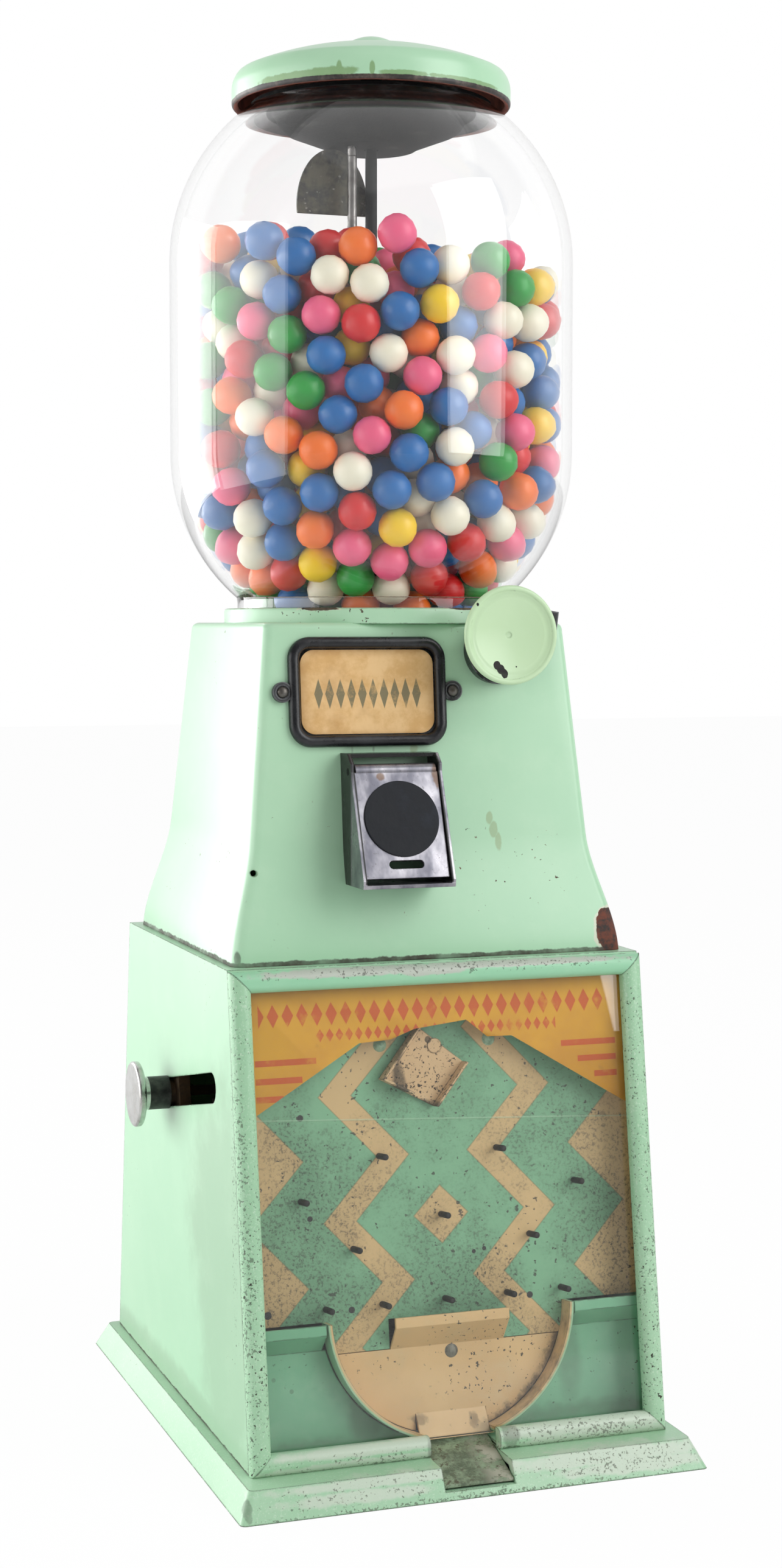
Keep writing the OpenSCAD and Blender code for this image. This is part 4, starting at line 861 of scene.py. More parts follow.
def discPaint():
    # pale green face with a pressed ring, a dimple and two chips, with painted shade in the ring and the
    # dimple
    material, tree, shader, vector = startMaterial("discEnamel")
    rounded = roundedNormal(tree, 0.0008)
    middle = (place["pushX"] / 1000, 0, place["pushZ"] / 1000)
    flat = vectorMaths(tree, "MULTIPLY", vectorMaths(tree, "SUBTRACT", vector, middle), (1, 0, 1))
    reach = vectorMaths(tree, "LENGTH", flat)
    ring = ramp(tree, absolute(tree, minus(tree, reach, 0.0160)), 0.0016, 0.0001)
    dimple = ramp(tree, reach, 0.0016, 0.0007)
    chips = patches(tree, vector, [
        ((23.6, -78, 319.0), (1.5, 9, 1.7), 0.14, 380.0, 0.04),
        ((25.1, -78, 317.4), (1.6, 9, 1.9), 0.14, 380.0, 0.04),
        ((26.6, -78, 315.6), (1.4, 9, 1.8), 0.14, 380.0, 0.04),
        ((14.7, -78, 343.1), (0.5, 9, 0.7), 0.16, 380.0, 0.04),
        ((31.9, -78, 318.4), (0.3, 9, 0.3), 0.16, 380.0, 0.04),
    ])
    rub = edgeMask(tree, vector, rounded, 0.25)
    coat = useGroup(
        tree, groups["enamel"], Vector=vector, Paint=tone(192, 221, 178), Faded=tone(200, 226, 186),
        Bare=tone(12, 10, 8), Wear=most(tree, chips, rub), Gloss=0.25,
    )
    # painted shade in the pressed ring and the dimple
    line = times(tree, most(tree, times(tree, ring, 0.4), dimple), 0.16)
    coatWith(tree, shader, mixColour(tree, line, coat["Colour"], tone(120, 150, 112)), coat["Roughness"])
    height = minus(tree, coat["Height"], times(tree, most(tree, times(tree, ring, 0.5), dimple), 1.2))
    bumpInto(tree, shader, height, 0.0004, 0.8, rounded)
    return material


def knobMetal():
    # bright face and rim, dull black neck
    material, tree, shader, vector = startMaterial("knobMetal")
    rounded = roundedNormal(tree, 0.0006)
    across = axesOf(tree, vector)["X"]
    neck = ramp(tree, across, -0.0965, -0.0961)
    cloud = noise(tree, vector, 90.0, 4.0, 0.65)
    bright = mixColour(tree, ramp(tree, cloud, 0.35, 0.7), tone(206, 206, 204), tone(168, 166, 162))
    dull = mixColour(tree, ramp(tree, cloud, 0.4, 0.7), tone(30, 30, 30), tone(84, 84, 80))
    feed(tree, shader.inputs["Base Color"], mixColour(tree, neck, bright, dull))
    feed(tree, shader.inputs["Metallic"], ramp(tree, neck, 0.0, 1.0, 1.0, 0.3))
    feed(
        tree, shader.inputs["Roughness"],
        plus(tree, ramp(tree, cloud, 0.3, 0.75, 0.16, 0.32), times(tree, neck, 0.25))
    )
    bumpInto(tree, shader, noise(tree, vector, 500.0), 0.0001, 0.4, rounded)
    return material


def hoodMetal(name, inside):
    # dull nickel, with near black painted shade behind the rims and where the hood meets the housing
    material, tree, shader, vector = startMaterial(name)
    rounded = roundedNormal(tree, 0.0004)
    axes = axesOf(tree, vector)
    cloud = noise(tree, vector, 70.0, 4.0, 0.6, (1.0, 1.0, 0.5))
    fine = noise(tree, vector, 700.0, 3.0, 0.6)
    colour = mixColour(tree, ramp(tree, cloud, 0.36, 0.66), tone(176, 174, 180), tone(112, 112, 122))
    colour = mixColour(tree, times(tree, ramp(tree, fine, 0.62, 0.70), 0.35), colour, tone(70, 66, 62))
    if inside:
        # painted shade: near black under the hood's top between its walls, and on its left wall by the
        # housing, where the metal also stops being metallic
        middle = absolute(tree, minus(tree, axes["X"], place["outletX"] / 1000))
        behind = ramp(tree, middle, 0.0186, 0.0180)
        shadeAtRoot = times(tree, ramp(tree, axes["Y"], -0.0722, -0.0680), ramp(tree, axes["X"], -0.0335, -0.0340))
        shadeUnderTop = times(tree, behind, ramp(tree, axes["Z"], 0.2336, 0.2342))
        paintedShade = most(tree, shadeUnderTop, shadeAtRoot)
        colour = mixColour(tree, paintedShade, colour, tone(20, 21, 20))
        feed(tree, shader.inputs["Metallic"], ramp(tree, paintedShade, 0.0, 1.0, 0.9, 0.0))
    else:
        rust = patches(tree, vector, [
            ((1.5, -70, 276), (1.6, 9, 4), 0.35, 260.0, 0.5),
            ((-22, -76, 275), (1.6, 9, 1.4), 0.35, 260.0, 0.5),
        ])
        colour = mixColour(tree, times(tree, rust, 0.7), colour, tone(104, 78, 52))
        shader.inputs["Metallic"].default_value = 0.9
    coatWith(tree, shader, colour, ramp(tree, cloud, 0.3, 0.7, 0.24, 0.4))
    bumpInto(tree, shader, cloud, 0.0004, 0.4, rounded)
    return material


def troughPaint():
    # grimy green tray floor, rusty and rubbed pale towards the right
    material, tree, shader, vector = startMaterial("troughEnamel")
    rounded = roundedNormal(tree, 0.0006)
    cloud = noise(tree, vector, 130.0, 5.0, 0.75)
    fine = noise(tree, vector, 420.0, 4.0, 0.75)
    across = axesOf(tree, vector)["X"]
    green = mixColour(tree, ramp(tree, cloud, 0.38, 0.62), tone(140, 160, 132), tone(92, 104, 84))
    rub = times(tree, ramp(tree, across, 0.0, 0.010), ramp(tree, cloud, 0.44, 0.58))
    colour = mixColour(tree, times(tree, rub, 0.8), green, tone(186, 184, 168))
    rust = times(tree, ramp(tree, fine, 0.52, 0.62), ramp(tree, cloud, 0.60, 0.45))
    colour = mixColour(tree, times(tree, rust, 0.8), colour, tone(66, 48, 34))
    coatWith(tree, shader, colour, ramp(tree, cloud, 0.3, 0.7, 0.45, 0.7))
    bumpInto(tree, shader, fine, 0.0003, 0.5, rounded)
    return material


def cupPaint():
    # cream inside, green outside, brown where coins slid along the wall
    material, tree, shader, vector = startMaterial("cupEnamel")
    front = useGroup(tree, groups["front"], Vector=vector)
    reach = fromCupMiddle(tree, front)
    inside = ramp(tree, reach, 51.7, 50.6)
    grime = ramp(tree, noise(tree, vector, 80.0, 4.0, 0.7), 0.4, 0.7)
    rightSide = times(tree, ramp(tree, front["Across"], 5.0, 30.0), 0.75)
    cream = mixColour(tree, times(tree, grime, rightSide), tone(206, 170, 121), tone(84, 62, 38))
    colour = mixColour(tree, inside, tone(140, 184, 148), cream)
    rounded = roundedNormal(tree, 0.0005)
    rub = edgeMask(tree, vector, rounded, 0.6)
    paint = useGroup(
        tree, groups["enamel"], Vector=vector, Paint=colour, Faded=colour, Bare=tone(72, 56, 40), Wear=rub,
        Gloss=0.34
    )
    putCoat(tree, shader, paint, rounded)
    return material


def frontSpot(across, up, out, size):
    # a round mark for a paint's table of spots
    return (frontPlace(across, up, out), (size, size * 3, size), 0.10, 260.0, 0.2)


# old pin holes and dents
fieldMarks = [
    frontSpot(across, up, -17, size)
    for across, up, size in (
        (-54.8, 94.5, 1.0), (-39.3, 57.9, 1.2), (36.4, 57.1, 1.2), (-73.7, 58.7, 1.4), (-53.4, 52.8, 1.0),
        (13.2, 76.4, 0.8), (17.7, 77.2, 0.8), (-57.0, 134.0, 1.2),
    )
]


def fieldPaint():
    material, tree, shader, vector = startMaterial("fieldEnamel")
    front = useGroup(tree, groups["front"], Vector=vector)
    pattern = useGroup(tree, groups["zigzag"], Across=front["Across"], Up=front["Up"])
    broad = noise(tree, vector, 22.0, 5.0, 0.65)
    fine = noise(tree, vector, 820.0, 3.0, 0.75)
    green = mixColour(tree, ramp(tree, broad, 0.35, 0.7), tone(122, 172, 136), tone(104, 154, 120))
    cream = mixColour(tree, ramp(tree, broad, 0.4, 0.7), tone(205, 171, 122), tone(196, 162, 114))
    colour = mixColour(tree, pattern["Cream"], green, cream)
    colour = mixColour(tree, times(tree, pattern["Line"], 0.45), colour, tone(112, 96, 62))
    # coins leave a grey haze of fine dark dots down the middle
    low = ramp(tree, front["Up"], 150.0, 118.0)
    haze = times(tree, ramp(tree, broad, 0.34, 0.60), ramp(tree, low, 0.0, 1.0, 0.45, 1.0))
    colour = mixColour(tree, times(tree, haze, 0.20), colour, tone(84, 92, 70))
    dots = ramp(tree, fine, 0.50, 0.62)
    soot = times(tree, times(tree, haze, dots), 0.66)
    colour = mixColour(tree, soot, colour, tone(44, 42, 34))
    holes = patches(tree, vector, fieldMarks)
    colour = mixColour(tree, holes, colour, tone(14, 12, 10))
    specks = speckMask(tree, vector, 420.0, 0.725, 0.34)
    colour = mixColour(tree, times(tree, specks, 0.85), colour, tone(34, 30, 24))
    crease = minus(tree, front["Up"], minus(tree, 130.2, times(tree, front["Across"], 0.05)))
    crease = ramp(tree, absolute(tree, crease), 0.5, 0.1)
    colour = mixColour(tree, times(tree, crease, 0.35), colour, tone(170, 200, 170))
    coatWith(tree, shader, colour, ramp(tree, broad, 0.3, 0.7, 0.38, 0.6))
    bumpInto(tree, shader, plus(tree, times(tree, crease, 0.8), times(tree, fine, 0.2)), 0.0003, 0.5)
    return material


def between(tree, across, left, right):
    past = maths(tree, "GREATER_THAN", across, left)
    return times(tree, past, maths(tree, "LESS_THAN", across, right))


def lozenges(tree, across, up, pitch, mid, half, left, right):
    # a row of plain lozenges between two ends
    offset = minus(tree, maths(tree, "PINGPONG", across, pitch / 2), pitch / 4)
    wide = maths(tree, "DIVIDE", absolute(tree, offset), pitch / 5)
    high = maths(tree, "DIVIDE", absolute(tree, minus(tree, up, mid)), half)
    body = ramp(tree, plus(tree, wide, high), 1.06, 0.94)
    return times(tree, body, between(tree, across, left, right))


def rules(tree, across, up, rows):
    masks = []
    for left, right, mid, half in rows:
        line = maths(tree, "LESS_THAN", absolute(tree, minus(tree, up, mid)), half)
        masks.append(times(tree, line, between(tree, across, left, right)))
    return strongest(tree, masks)


def cardPaper():
    material, tree, shader, vector = startMaterial("cardPaper")
    front = useGroup(tree, groups["front"], Vector=vector)
    across, up = front["Across"], front["Up"]
    blotch = noise(tree, vector, 26.0, 5.0, 0.65)
    grain = noise(tree, vector, 300.0, 3.0, 0.6)
    colour = mixColour(tree, ramp(tree, blotch, 0.35, 0.68), tone(218, 158, 40), tone(204, 142, 42))
    printed = lozenges(tree, across, up, 12.0, 174.6, 4.6, -75, 73)
    printed = most(tree, printed, lozenges(tree, across, up, 8.0, 166.2, 2.6, -52, 50))
    printed = most(tree, printed, rules(tree, across, up, [
        (-77, -52, 156.5, 1.2), (-77, -58, 149.5, 1.2), (-77, -66, 142.5, 1.2),
        (52, 76, 157.5, 1.2), (59, 76, 151.0, 1.2), (66, 76, 144.5, 1.2),
    ]))
    worn = ramp(tree, noise(tree, vector, 90.0, 5.0, 0.7), 0.72, 0.5)
    colour = mixColour(tree, times(tree, printed, times(tree, worn, 0.9)), colour, tone(198, 80, 36))
    edge = ramp(tree, up, 176.0, 186.0)
    colour = mixColour(tree, times(tree, edge, 0.35), colour, tone(120, 80, 30))
    stain = ramp(tree, noise(tree, vector, 60.0, 4.0, 0.7), 0.62, 0.75)
    colour = mixColour(tree, times(tree, stain, 0.3), colour, tone(110, 76, 34))
    feed(tree, shader.inputs["Base Color"], colour)
    shader.inputs["Roughness"].default_value = 0.75
    bumpInto(tree, shader, grain, 0.0002, 0.3)
    return material


def namePaper():
    material, tree, shader, vector = startMaterial("namePaper")
    streak = noise(tree, vector, 80.0, 5.0, 0.7)
    blotch = noise(tree, vector, 34.0, 4.0, 0.6)
    colour = mixColour(tree, ramp(tree, streak, 0.38, 0.66), tone(232, 194, 138), tone(214, 170, 108))
    colour = mixColour(tree, times(tree, ramp(tree, blotch, 0.52, 0.72), 0.5), colour, tone(176, 128, 70))
    axes = axesOf(tree, vector)
    across = minus(tree, times(tree, axes["X"], 1000.0), place["nameX"])
    up = minus(tree, times(tree, axes["Z"], 1000.0), 307.6)
    printed = lozenges(tree, across, up, 9.2, 0.0, 6.0, -23.0, 23.0)
    worn = ramp(tree, noise(tree, vector, 160.0, 4.0, 0.7), 0.78, 0.5)
    colour = mixColour(tree, times(tree, printed, times(tree, worn, 0.85)), colour, tone(98, 100, 78))
    away = most(
        tree, maths(tree, "DIVIDE", absolute(tree, across), 29.0),
        maths(tree, "DIVIDE", absolute(tree, up), 17.5)
    )
    colour = mixColour(tree, ramp(tree, away, 0.78, 1.05, 0.0, 0.5), colour, tone(150, 104, 52))
    feed(tree, shader.inputs["Base Color"], colour)
    shader.inputs["Roughness"].default_value = 0.7
    bumpInto(tree, shader, noise(tree, vector, 400.0), 0.0001, 0.3)
    return material


def gumShell():
    material, tree, shader, vector = startMaterial("gumShell")
    tint = addNode(tree, "ShaderNodeAttribute", {"attribute_name": "shellTint"}).outputs["Color"]
    mottle = noise(tree, vector, 130.0, 4.0, 0.6)
    colour = mixColour(
        tree, times(tree, ramp(tree, mottle, 0.4, 0.75), 0.16), tint, (1, 1, 1, 1), "SOFT_LIGHT"
    )
    coatWith(tree, shader, colour, ramp(tree, mottle, 0.3, 0.7, 0.3, 0.45))
    bumpInto(tree, shader, noise(tree, vector, 330.0), 0.0003, 0.25)
    return material


def dishPaint():
    # dull black with dusty streaks down the slope
    material, tree, shader, vector = startMaterial("dishBlack")
    cloud = noise(tree, vector, 55.0, 6.0, 0.8, (1, 1, 3.0))
    dust = times(tree, ramp(tree, cloud, 0.52, 0.72), 0.6)
    coatWith(
        tree, shader, mixColour(tree, dust, tone(10, 10, 11), tone(84, 84, 82)),
        ramp(tree, cloud, 0.4, 0.7, 0.7, 0.9)
    )
    shader.inputs["Specular IOR Level"].default_value = 0.12
    bumpInto(tree, shader, cloud, 0.0008, 0.7)
    return material


def bracketMetal():
    # old grey plate, mottled brown, with a few bright scratches
    material, tree, shader, vector = startMaterial("bracketMetal")
    cloud = noise(tree, vector, 120.0, 5.0, 0.7)
    fine = noise(tree, vector, 420.0, 4.0, 0.7)
    colour = mixColour(tree, ramp(tree, cloud, 0.36, 0.62), tone(58, 60, 58), tone(112, 108, 96))
    colour = mixColour(tree, ramp(tree, fine, 0.62, 0.70), colour, tone(176, 174, 166))
    coatWith(tree, shader, colour, ramp(tree, cloud, 0.3, 0.7, 0.5, 0.8))
    shader.inputs["Metallic"].default_value = 0.2
    bumpInto(tree, shader, fine, 0.0004, 0.6)
    return material


def paintedScrew():
    # two screws under the field's green, one bare dark screw in the catcher plate
    material, tree, shader, vector = startMaterial("paintedScrew")
    height = axesOf(tree, vector)["Z"]
    cloud = noise(tree, vector, 300.0, 4.0, 0.7)
    green = mixColour(tree, ramp(tree, cloud, 0.4, 0.65), tone(160, 186, 158), tone(108, 138, 110))
    grey = mixColour(tree, ramp(tree, cloud, 0.4, 0.65), tone(112, 108, 96), tone(64, 60, 52))
    coatWith(
        tree, shader, mixColour(tree, ramp(tree, height, 0.066, 0.067), grey, green),
        ramp(tree, cloud, 0.3, 0.7, 0.35, 0.6)
    )
    bumpInto(tree, shader, cloud, 0.0002, 0.5)
    return material


nickel = plainMetal("wornNickel", {
    "colour": tone(120, 118, 116), "worn": tone(74, 72, 70), "rough": (0.25, 0.42), "speckLevel": 0.72,
})
darkSteel = plainMetal("darkSteel", {
    "colour": tone(112, 110, 106), "worn": tone(78, 70, 60), "rough": (0.4, 0.6), "speckLevel": 0.66,
})
slotSteel = plainMetal("slotSteel", {
    "colour": tone(92, 70, 48), "worn": tone(52, 44, 36), "rough": (0.5, 0.7), "speckLevel": 0.6,
    "metallic": 0.6,
})
brassMetal = plainMetal("brassMetal", {
    "colour": tone(196, 158, 92), "worn": tone(150, 112, 60), "rough": (0.3, 0.5), "speckLevel": 0.7,
})
castGrey = plainMetal("castGrey", {
    "colour": tone(150, 152, 152), "worn": tone(118, 118, 116), "rough": (0.45, 0.6), "bump": 0.8,
})
springSteel = plainMetal("springSteel", {
    "colour": tone(160, 160, 160), "worn": tone(120, 118, 114), "rough": (0.3, 0.45),
})
glossBlack = blackPaint("glossBlack", {
    "colour": tone(20, 21, 24), "dust": tone(46, 48, 52), "rough": (0.22, 0.36), "edge": 0.0012,
    "rub": 0.45,
})
rodBlack = blackPaint(
    "rodBlack", {"colour": tone(12, 12, 13), "dust": tone(32, 32, 33), "rough": (0.5, 0.7), "specular": 0.2}
)
dustyBlack = blackPaint(
    "dustyBlack",
    {"colour": tone(24, 27, 33), "dust": tone(42, 46, 54), "rough": (0.5, 0.62), "specular": 0.25}
)
pinBlack = blackPaint(
    "pinBlack",
    {"colour": tone(14, 13, 12), "dust": tone(40, 34, 28), "rough": (0.45, 0.6), "specular": 0.3}
)
paleRubber = blackPaint(
    "paleRubber", {"colour": tone(196, 186, 166), "dust": tone(160, 148, 126), "rough": (0.6, 0.8)}
)
globeGlassLook = clearGlass(
    "globeGlass", {"colour": (1, 1, 1, 1), "smear": 0.03, "shade": (0.96, 0.98, 0.97, 1)}
)
windowGlassLook = clearGlass(
    "windowGlass", {"colour": (0.99, 1, 0.99, 1), "smear": 0.05, "shade": (0.95, 0.97, 0.95, 1)}
)

dress(["cabinet_shell"], cabinetPaint)
dress(["left_stile", "right_stile"], stilePaint)
dress(["top_rail"], topRailPaint)
dress(["bottom_rail"], bottomRailPaint)
dress(["base_skirt"], basePaint)
dress(["upper_housing"], housingPaint)
dress(["lid", "lid_screw"], lidLook)
dress(["back_door"], doorPaint)
dress(["push_disc"], discPaint())
dress(["left_pocket_cover", "right_pocket_cover"], pocketPaint)
dress(["catch_plate"], catchPaint())
dress(["coin_carrier"], trayPaint)
dress(["cup_wall"], cupPaint())
dress(["playfield"], fieldPaint())
dress(["instruction_card"], cardPaper())
dress(["name_card"], namePaper())
dress(["playfield_screws"], paintedScrew())
dress(["chute_hood"], hoodMetal("hoodNickel", True))
dress(["chute_flap"], hoodMetal("flapNickel", False))
dress(["lock_rod", "door_lock", "lock_cam"], nickel)
dress(["handle_knob"], knobMetal())
dress([
    "base_plate", "cash_box", "carrier_arm", "cross_bar", "bell_crank", "coin_chute",
    "push_shaft", "drop_guard", "ratchet_wheel", "axle_strap", "rod_nut", "delivery_chute", "door_hinge",
    "name_screws",
], darkSteel)
dress(["coin_apron", "return_ramp"], troughPaint())
dress(["handle_track", "handle_slider"], slotSteel)
dress(["carrier_bush", "feed_wheel"], brassMetal)
dress(["hopper_bowl"], castGrey)
dress(["push_spring"], springSteel)
dress(["coin_entry", "name_frame"], glossBlack)
dress(["centre_rod", "flap_pin"], rodBlack)
dress(["flap_disc"], dustyBlack)
dress(["playfield_pins"], pinBlack)
dress(["globe_gasket"], paleRubber)
dress(["globe"], globeGlassLook)
dress(["game_window"], windowGlassLook)
print("materials made")


# globe and its gumballs

globe = {
    "outer": 85, "shoulder": 80, "wall": 4, "foot": 57, "low": 337.5, "shoulderLow": 407,
    "shoulderHigh": 486, "mouth": 551, "hole": 46.8, "footIn": 51
}


def globePiece():
    g = globe
    arcX = g["outer"] - g["shoulder"]
    innerR = g["shoulder"] - g["wall"]
    up = math.degrees(math.asin((g["mouth"] - g["shoulderHigh"]) / g["shoulder"]))
    upIn = math.degrees(math.asin((g["mouth"] - g["shoulderHigh"]) / innerR))
    down = math.degrees(math.asin((g["shoulderLow"] - g["low"] - 9) / g["shoulder"]))
    downIn = math.degrees(math.acos((g["footIn"] - arcX) / innerR))
    profile = [
        (g["footIn"], g["low"]), (g["foot"] - 1.2, g["low"]), (g["foot"], g["low"] + 1.2),
        (g["foot"], g["low"] + 6.5)
    ]
    profile += arc(arcX, g["shoulderLow"], g["shoulder"], -down, 0, 22)
    profile += arc(arcX, g["shoulderHigh"], g["shoulder"], 0, up - 0.6, 24)
    profile += arc(arcX, g["shoulderHigh"], innerR, upIn - 0.6, 0, 24)
    profile += arc(arcX, g["shoulderLow"], innerR, 0, -downIn, 22)
    piece = turned("globeGlass", profile, (0, place["axisY"]), 128)
    piece.data.materials.append(globeGlassLook)
    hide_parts("globe")
    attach(piece, "machine")


globePiece()
print("globe made")

heap = {
    "ball": 15.9,
    "seed": 11,
    "top": 489,
    "tilt": 0.09,
    "tries": 420,
    "lift": 331.5,
    "bowl": 44.4,
    "gap": 0.15,
    "rodClear": (2.6, 2.1),
    "spread": (4.0, 1.2, 0.3, 0.1),
    "core": 26,
    "coreLow": 352,
    "coreUnderTop": 42,
    "tints": [
        ((4, 98, 168), 22), ((246, 236, 214), 20), ((250, 200, 14), 14), ((240, 92, 132), 15),
        ((212, 22, 28), 13), ((246, 112, 24), 9), ((22, 146, 50), 7),
    ],
}


def heapFloor(spots):
    # lowest height of a ball's middle over each place, in the bowl and on the glass
    radius = heap["ball"] / 2
    reach = globe["shoulder"] - globe["wall"] - radius - heap["gap"]
    flat = np.sqrt((spots**2).sum(1))
    out = np.minimum(reach, np.maximum(0, flat - (globe["outer"] - globe["shoulder"])))
    onGlass = globe["shoulderLow"] - np.sqrt(np.maximum(0, reach**2 - out**2))
    onGlass = np.where(flat < globe["footIn"] - radius - 0.1, globe["low"] + radius + 0.3, onGlass)
    return np.where(flat < heap["bowl"] - radius, heap["lift"], onGlass)


def pileHeap():
    # balls come down one by one, each into the lowest place found for it
    dice = np.random.default_rng(heap["seed"])
    radius = heap["ball"] / 2
    widest = globe["outer"] - globe["wall"] - radius - heap["gap"]
    reach = widest - globe["outer"] + globe["shoulder"]
    rods = [(spot, clear + radius) for spot, clear in zip(((0, 0), place["sideRod"]), heap["rodClear"])]
    balls = np.zeros((1200, 3))
    count = 0

    def lowest(tries):
        z = heapFloor(tries)
        if count:
            side = ((tries[:, None, :] - balls[None, :count, :2]) ** 2).sum(2)
            over = balls[None, :count, 2] + np.sqrt(np.maximum(0, 4 * radius**2 - side))
            z = np.maximum(z, np.where(side < 4 * radius**2, over, 0).max(1))
        for centre, clear in rods:
            z = np.where(((tries - centre) ** 2).sum(1) < clear**2, 9999, z)
        rise = np.maximum(0, z - globe["shoulderHigh"])
        limit = globe["outer"] - globe["shoulder"] + np.sqrt(np.maximum(0, reach**2 - rise**2))
        z = np.where((tries**2).sum(1) > limit**2, 9999, z) + heap["tilt"] * tries[:, 0]
        best = np.argmin(z)
        return tries[best], z[best]

    while count < len(balls):
        turn = dice.uniform(0, math.tau, heap["tries"])
        away = widest * np.sqrt(dice.uniform(0, 1, heap["tries"]))
        away[::3] = widest
        tries = np.stack([away * np.cos(turn), away * np.sin(turn)], axis=1)
        for spread in heap["spread"]:
            spot, height = lowest(tries)
            tries = spot + np.vstack([[0, 0], dice.normal(0, spread, (40, 2))])
        if height > heap["top"]:
            break
        balls[count] = (*spot, height - heap["tilt"] * spot[0])
        count += 1
    return balls[:count]


def ballShell(name, tint):
    # a cube cut up and pulled round, so it has no poles
    bpy.ops.mesh.primitive_cube_add(size=0.01)
    piece = bpy.context.object
    piece.name = name
    editAll(piece)
    bpy.ops.mesh.subdivide(number_cuts=3)
    bpy.ops.transform.tosphere(value=1)
    leaveEdit()
    far = max(v.co.length for v in piece.data.vertices)
    piece.scale = [heap["ball"] / 2000 / far] * 3
    settle(piece)
    bpy.ops.object.shade_smooth()
    layer = piece.data.color_attributes.new("shellTint", "FLOAT_COLOR", "POINT")
    for one in layer.data:
        one.color = tone(*tint)
    return piece


def gumballHeap():
    spots = pileHeap()
    top = spots[:, 2].max()
    flat = np.sqrt((spots[:, :2] ** 2).sum(1))
    rise = spots[:, 2]
    # balls deep in the heap can't be seen and are left out
    deep = (flat < heap["core"]) & (rise < heap["top"] - heap["coreUnderTop"]) & (rise > heap["coreLow"])
    spots = spots[~deep]
    dice = np.random.default_rng(heap["seed"] + 1)
    shells = [ballShell(f"shell{i}", tint) for i, (tint, share) in enumerate(heap["tints"])]
    shares = np.array([share for tint, share in heap["tints"]], float)
    chosen = dice.choice(len(shells), len(spots), p=shares / shares.sum())
    copies = []
    for (x, y, z), kind in zip(spots, chosen):
        copy = shells[kind].copy()
        copy.data = shells[kind].data.copy()
        copy.location = metres((x, y + place["axisY"], z))
        copy.rotation_euler = dice.uniform(0, math.tau, 3)
        copy.scale = [0.985, 0.97 + 0.02 * dice.random(), 0.96 + 0.03 * dice.random()]
        bpy.context.scene.collection.objects.link(copy)
        copies.append(copy)
    deselectAll()
    for copy in copies:
        copy.select_set(True)
    bpy.context.view_layer.objects.active = copies[0]
    bpy.ops.object.join()
    piece = bpy.context.object
    piece.name = "gumballHeap"
    settle(piece)
    for shell in shells:
        bpy.data.objects.remove(shell)
    piece.data.materials.clear()
    piece.data.materials.append(gumShell())
    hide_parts("gumballs")
    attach(piece, "machine")
    triangles = sum(len(face.vertices) - 2 for face in piece.data.polygons)
    print("gumballs:", len(spots), "top", round(float(top), 1), "triangles", triangles)


gumballHeap()


# lid

lid = {
    "radius": 58.6, "low": 552, "height": 24.5, "dome": 142, "corner": 10, "sheet": 1.2, "bead": 1.3,
    "hole": 1.5
}


def lidShape(inset):
    # from the hole in the crown to the foot of the wall
    d = lid
    edge = d["radius"] - d["corner"]
    sag = d["dome"] - math.sqrt(d["dome"] ** 2 - edge**2)
    wallTop = d["low"] + d["height"] - d["corner"] - sag + 0.4
    crown = d["low"] + d["height"]
    points = []
    for i in range(25):
        r = d["hole"] + (edge - d["hole"]) * i / 24
        points.append((r, crown - d["dome"] + math.sqrt((d["dome"] - inset) ** 2 - r**2)))
    for i in range(1, 17):
        a = math.radians(90 - 90 * i / 16)
        r = edge + (d["corner"] - inset) * math.cos(a)
        z = wallTop + (d["corner"] - inset) * math.sin(a)
        points.append((r, min(z, crown - d["dome"] + math.sqrt((d["dome"] - inset) ** 2 - r**2))))
    return points


def lidPiece():
    d = lid
    outer = lidShape(0)
    inner = lidShape(d["sheet"])
    middle = (d["radius"] - d["bead"], d["low"] + 0.9)
    roll = arc(middle[0], middle[1], d["bead"], 0, -250, 18)
    wallFoot = [(d["radius"] - d["sheet"], d["low"] + 2.6)]
    profile = outer + [(d["radius"], d["low"] + 2.2)] + roll + wallFoot + inner[::-1]
    piece = turned("lidShell", profile, (0, place["axisY"]), 128)
    piece.data.materials.append(lidLook)
    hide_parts("lid")
    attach(piece, "lid")


lidPiece()
print("lid made")


dish = {
    "mouth": 551, "rim": 50.6, "neck": 42.6, "slope": 38, "slopeDrop": 7.5, "floor": 19.5, "drop": 16.2,
    "sheet": 1.4, "floorUnder": 530.75,
    "bracketX": -16, "bracketY": 11, "bracketZ": 511, "bracketWide": 15.6, "bracketHigh": 24,
    "bracketFoot": 507.5, "bracketThick": 1.6,
    "post": [(2.7, -0.2), (4.5, -0.2), (4.5, 38.3), (4.1, 38.8), (2.7, 38.8)],
    "socket": (1.5, 2.5), "rodEnd": (0.3, 2.0),
}


def dishShape(lift):
    # from the rod's hole out to the rim that rests on the glass
    d = dish
    low = d["mouth"] - d["drop"] + lift
    bend = d["mouth"] - d["slopeDrop"] + lift
    return [
        (3.0, low), (d["floor"] - 2, low), (d["floor"] - 0.5, low + 0.35), (d["floor"] + 1.0, low + 1.4),
        (d["slope"] - 1.2, bend - 0.7), (d["slope"] + 0.6, bend + 0.7),
        (d["neck"] - 0.8, d["mouth"] - 1.4 + lift),
        (d["neck"] + 0.2, d["mouth"] - 0.1 + lift), (d["neck"] + 1.6, d["mouth"] + 0.3 + lift),
        (d["rim"], d["mouth"] + 0.3 + lift),
    ]


def rodStub(name, radii, spot, steps):
    inner, outer = radii
    low, high = dish["floorUnder"], dish["mouth"] - dish["drop"] + 0.3
    return turned(name, [(inner, low), (outer, low), (outer, high), (inner, high)], spot, steps)


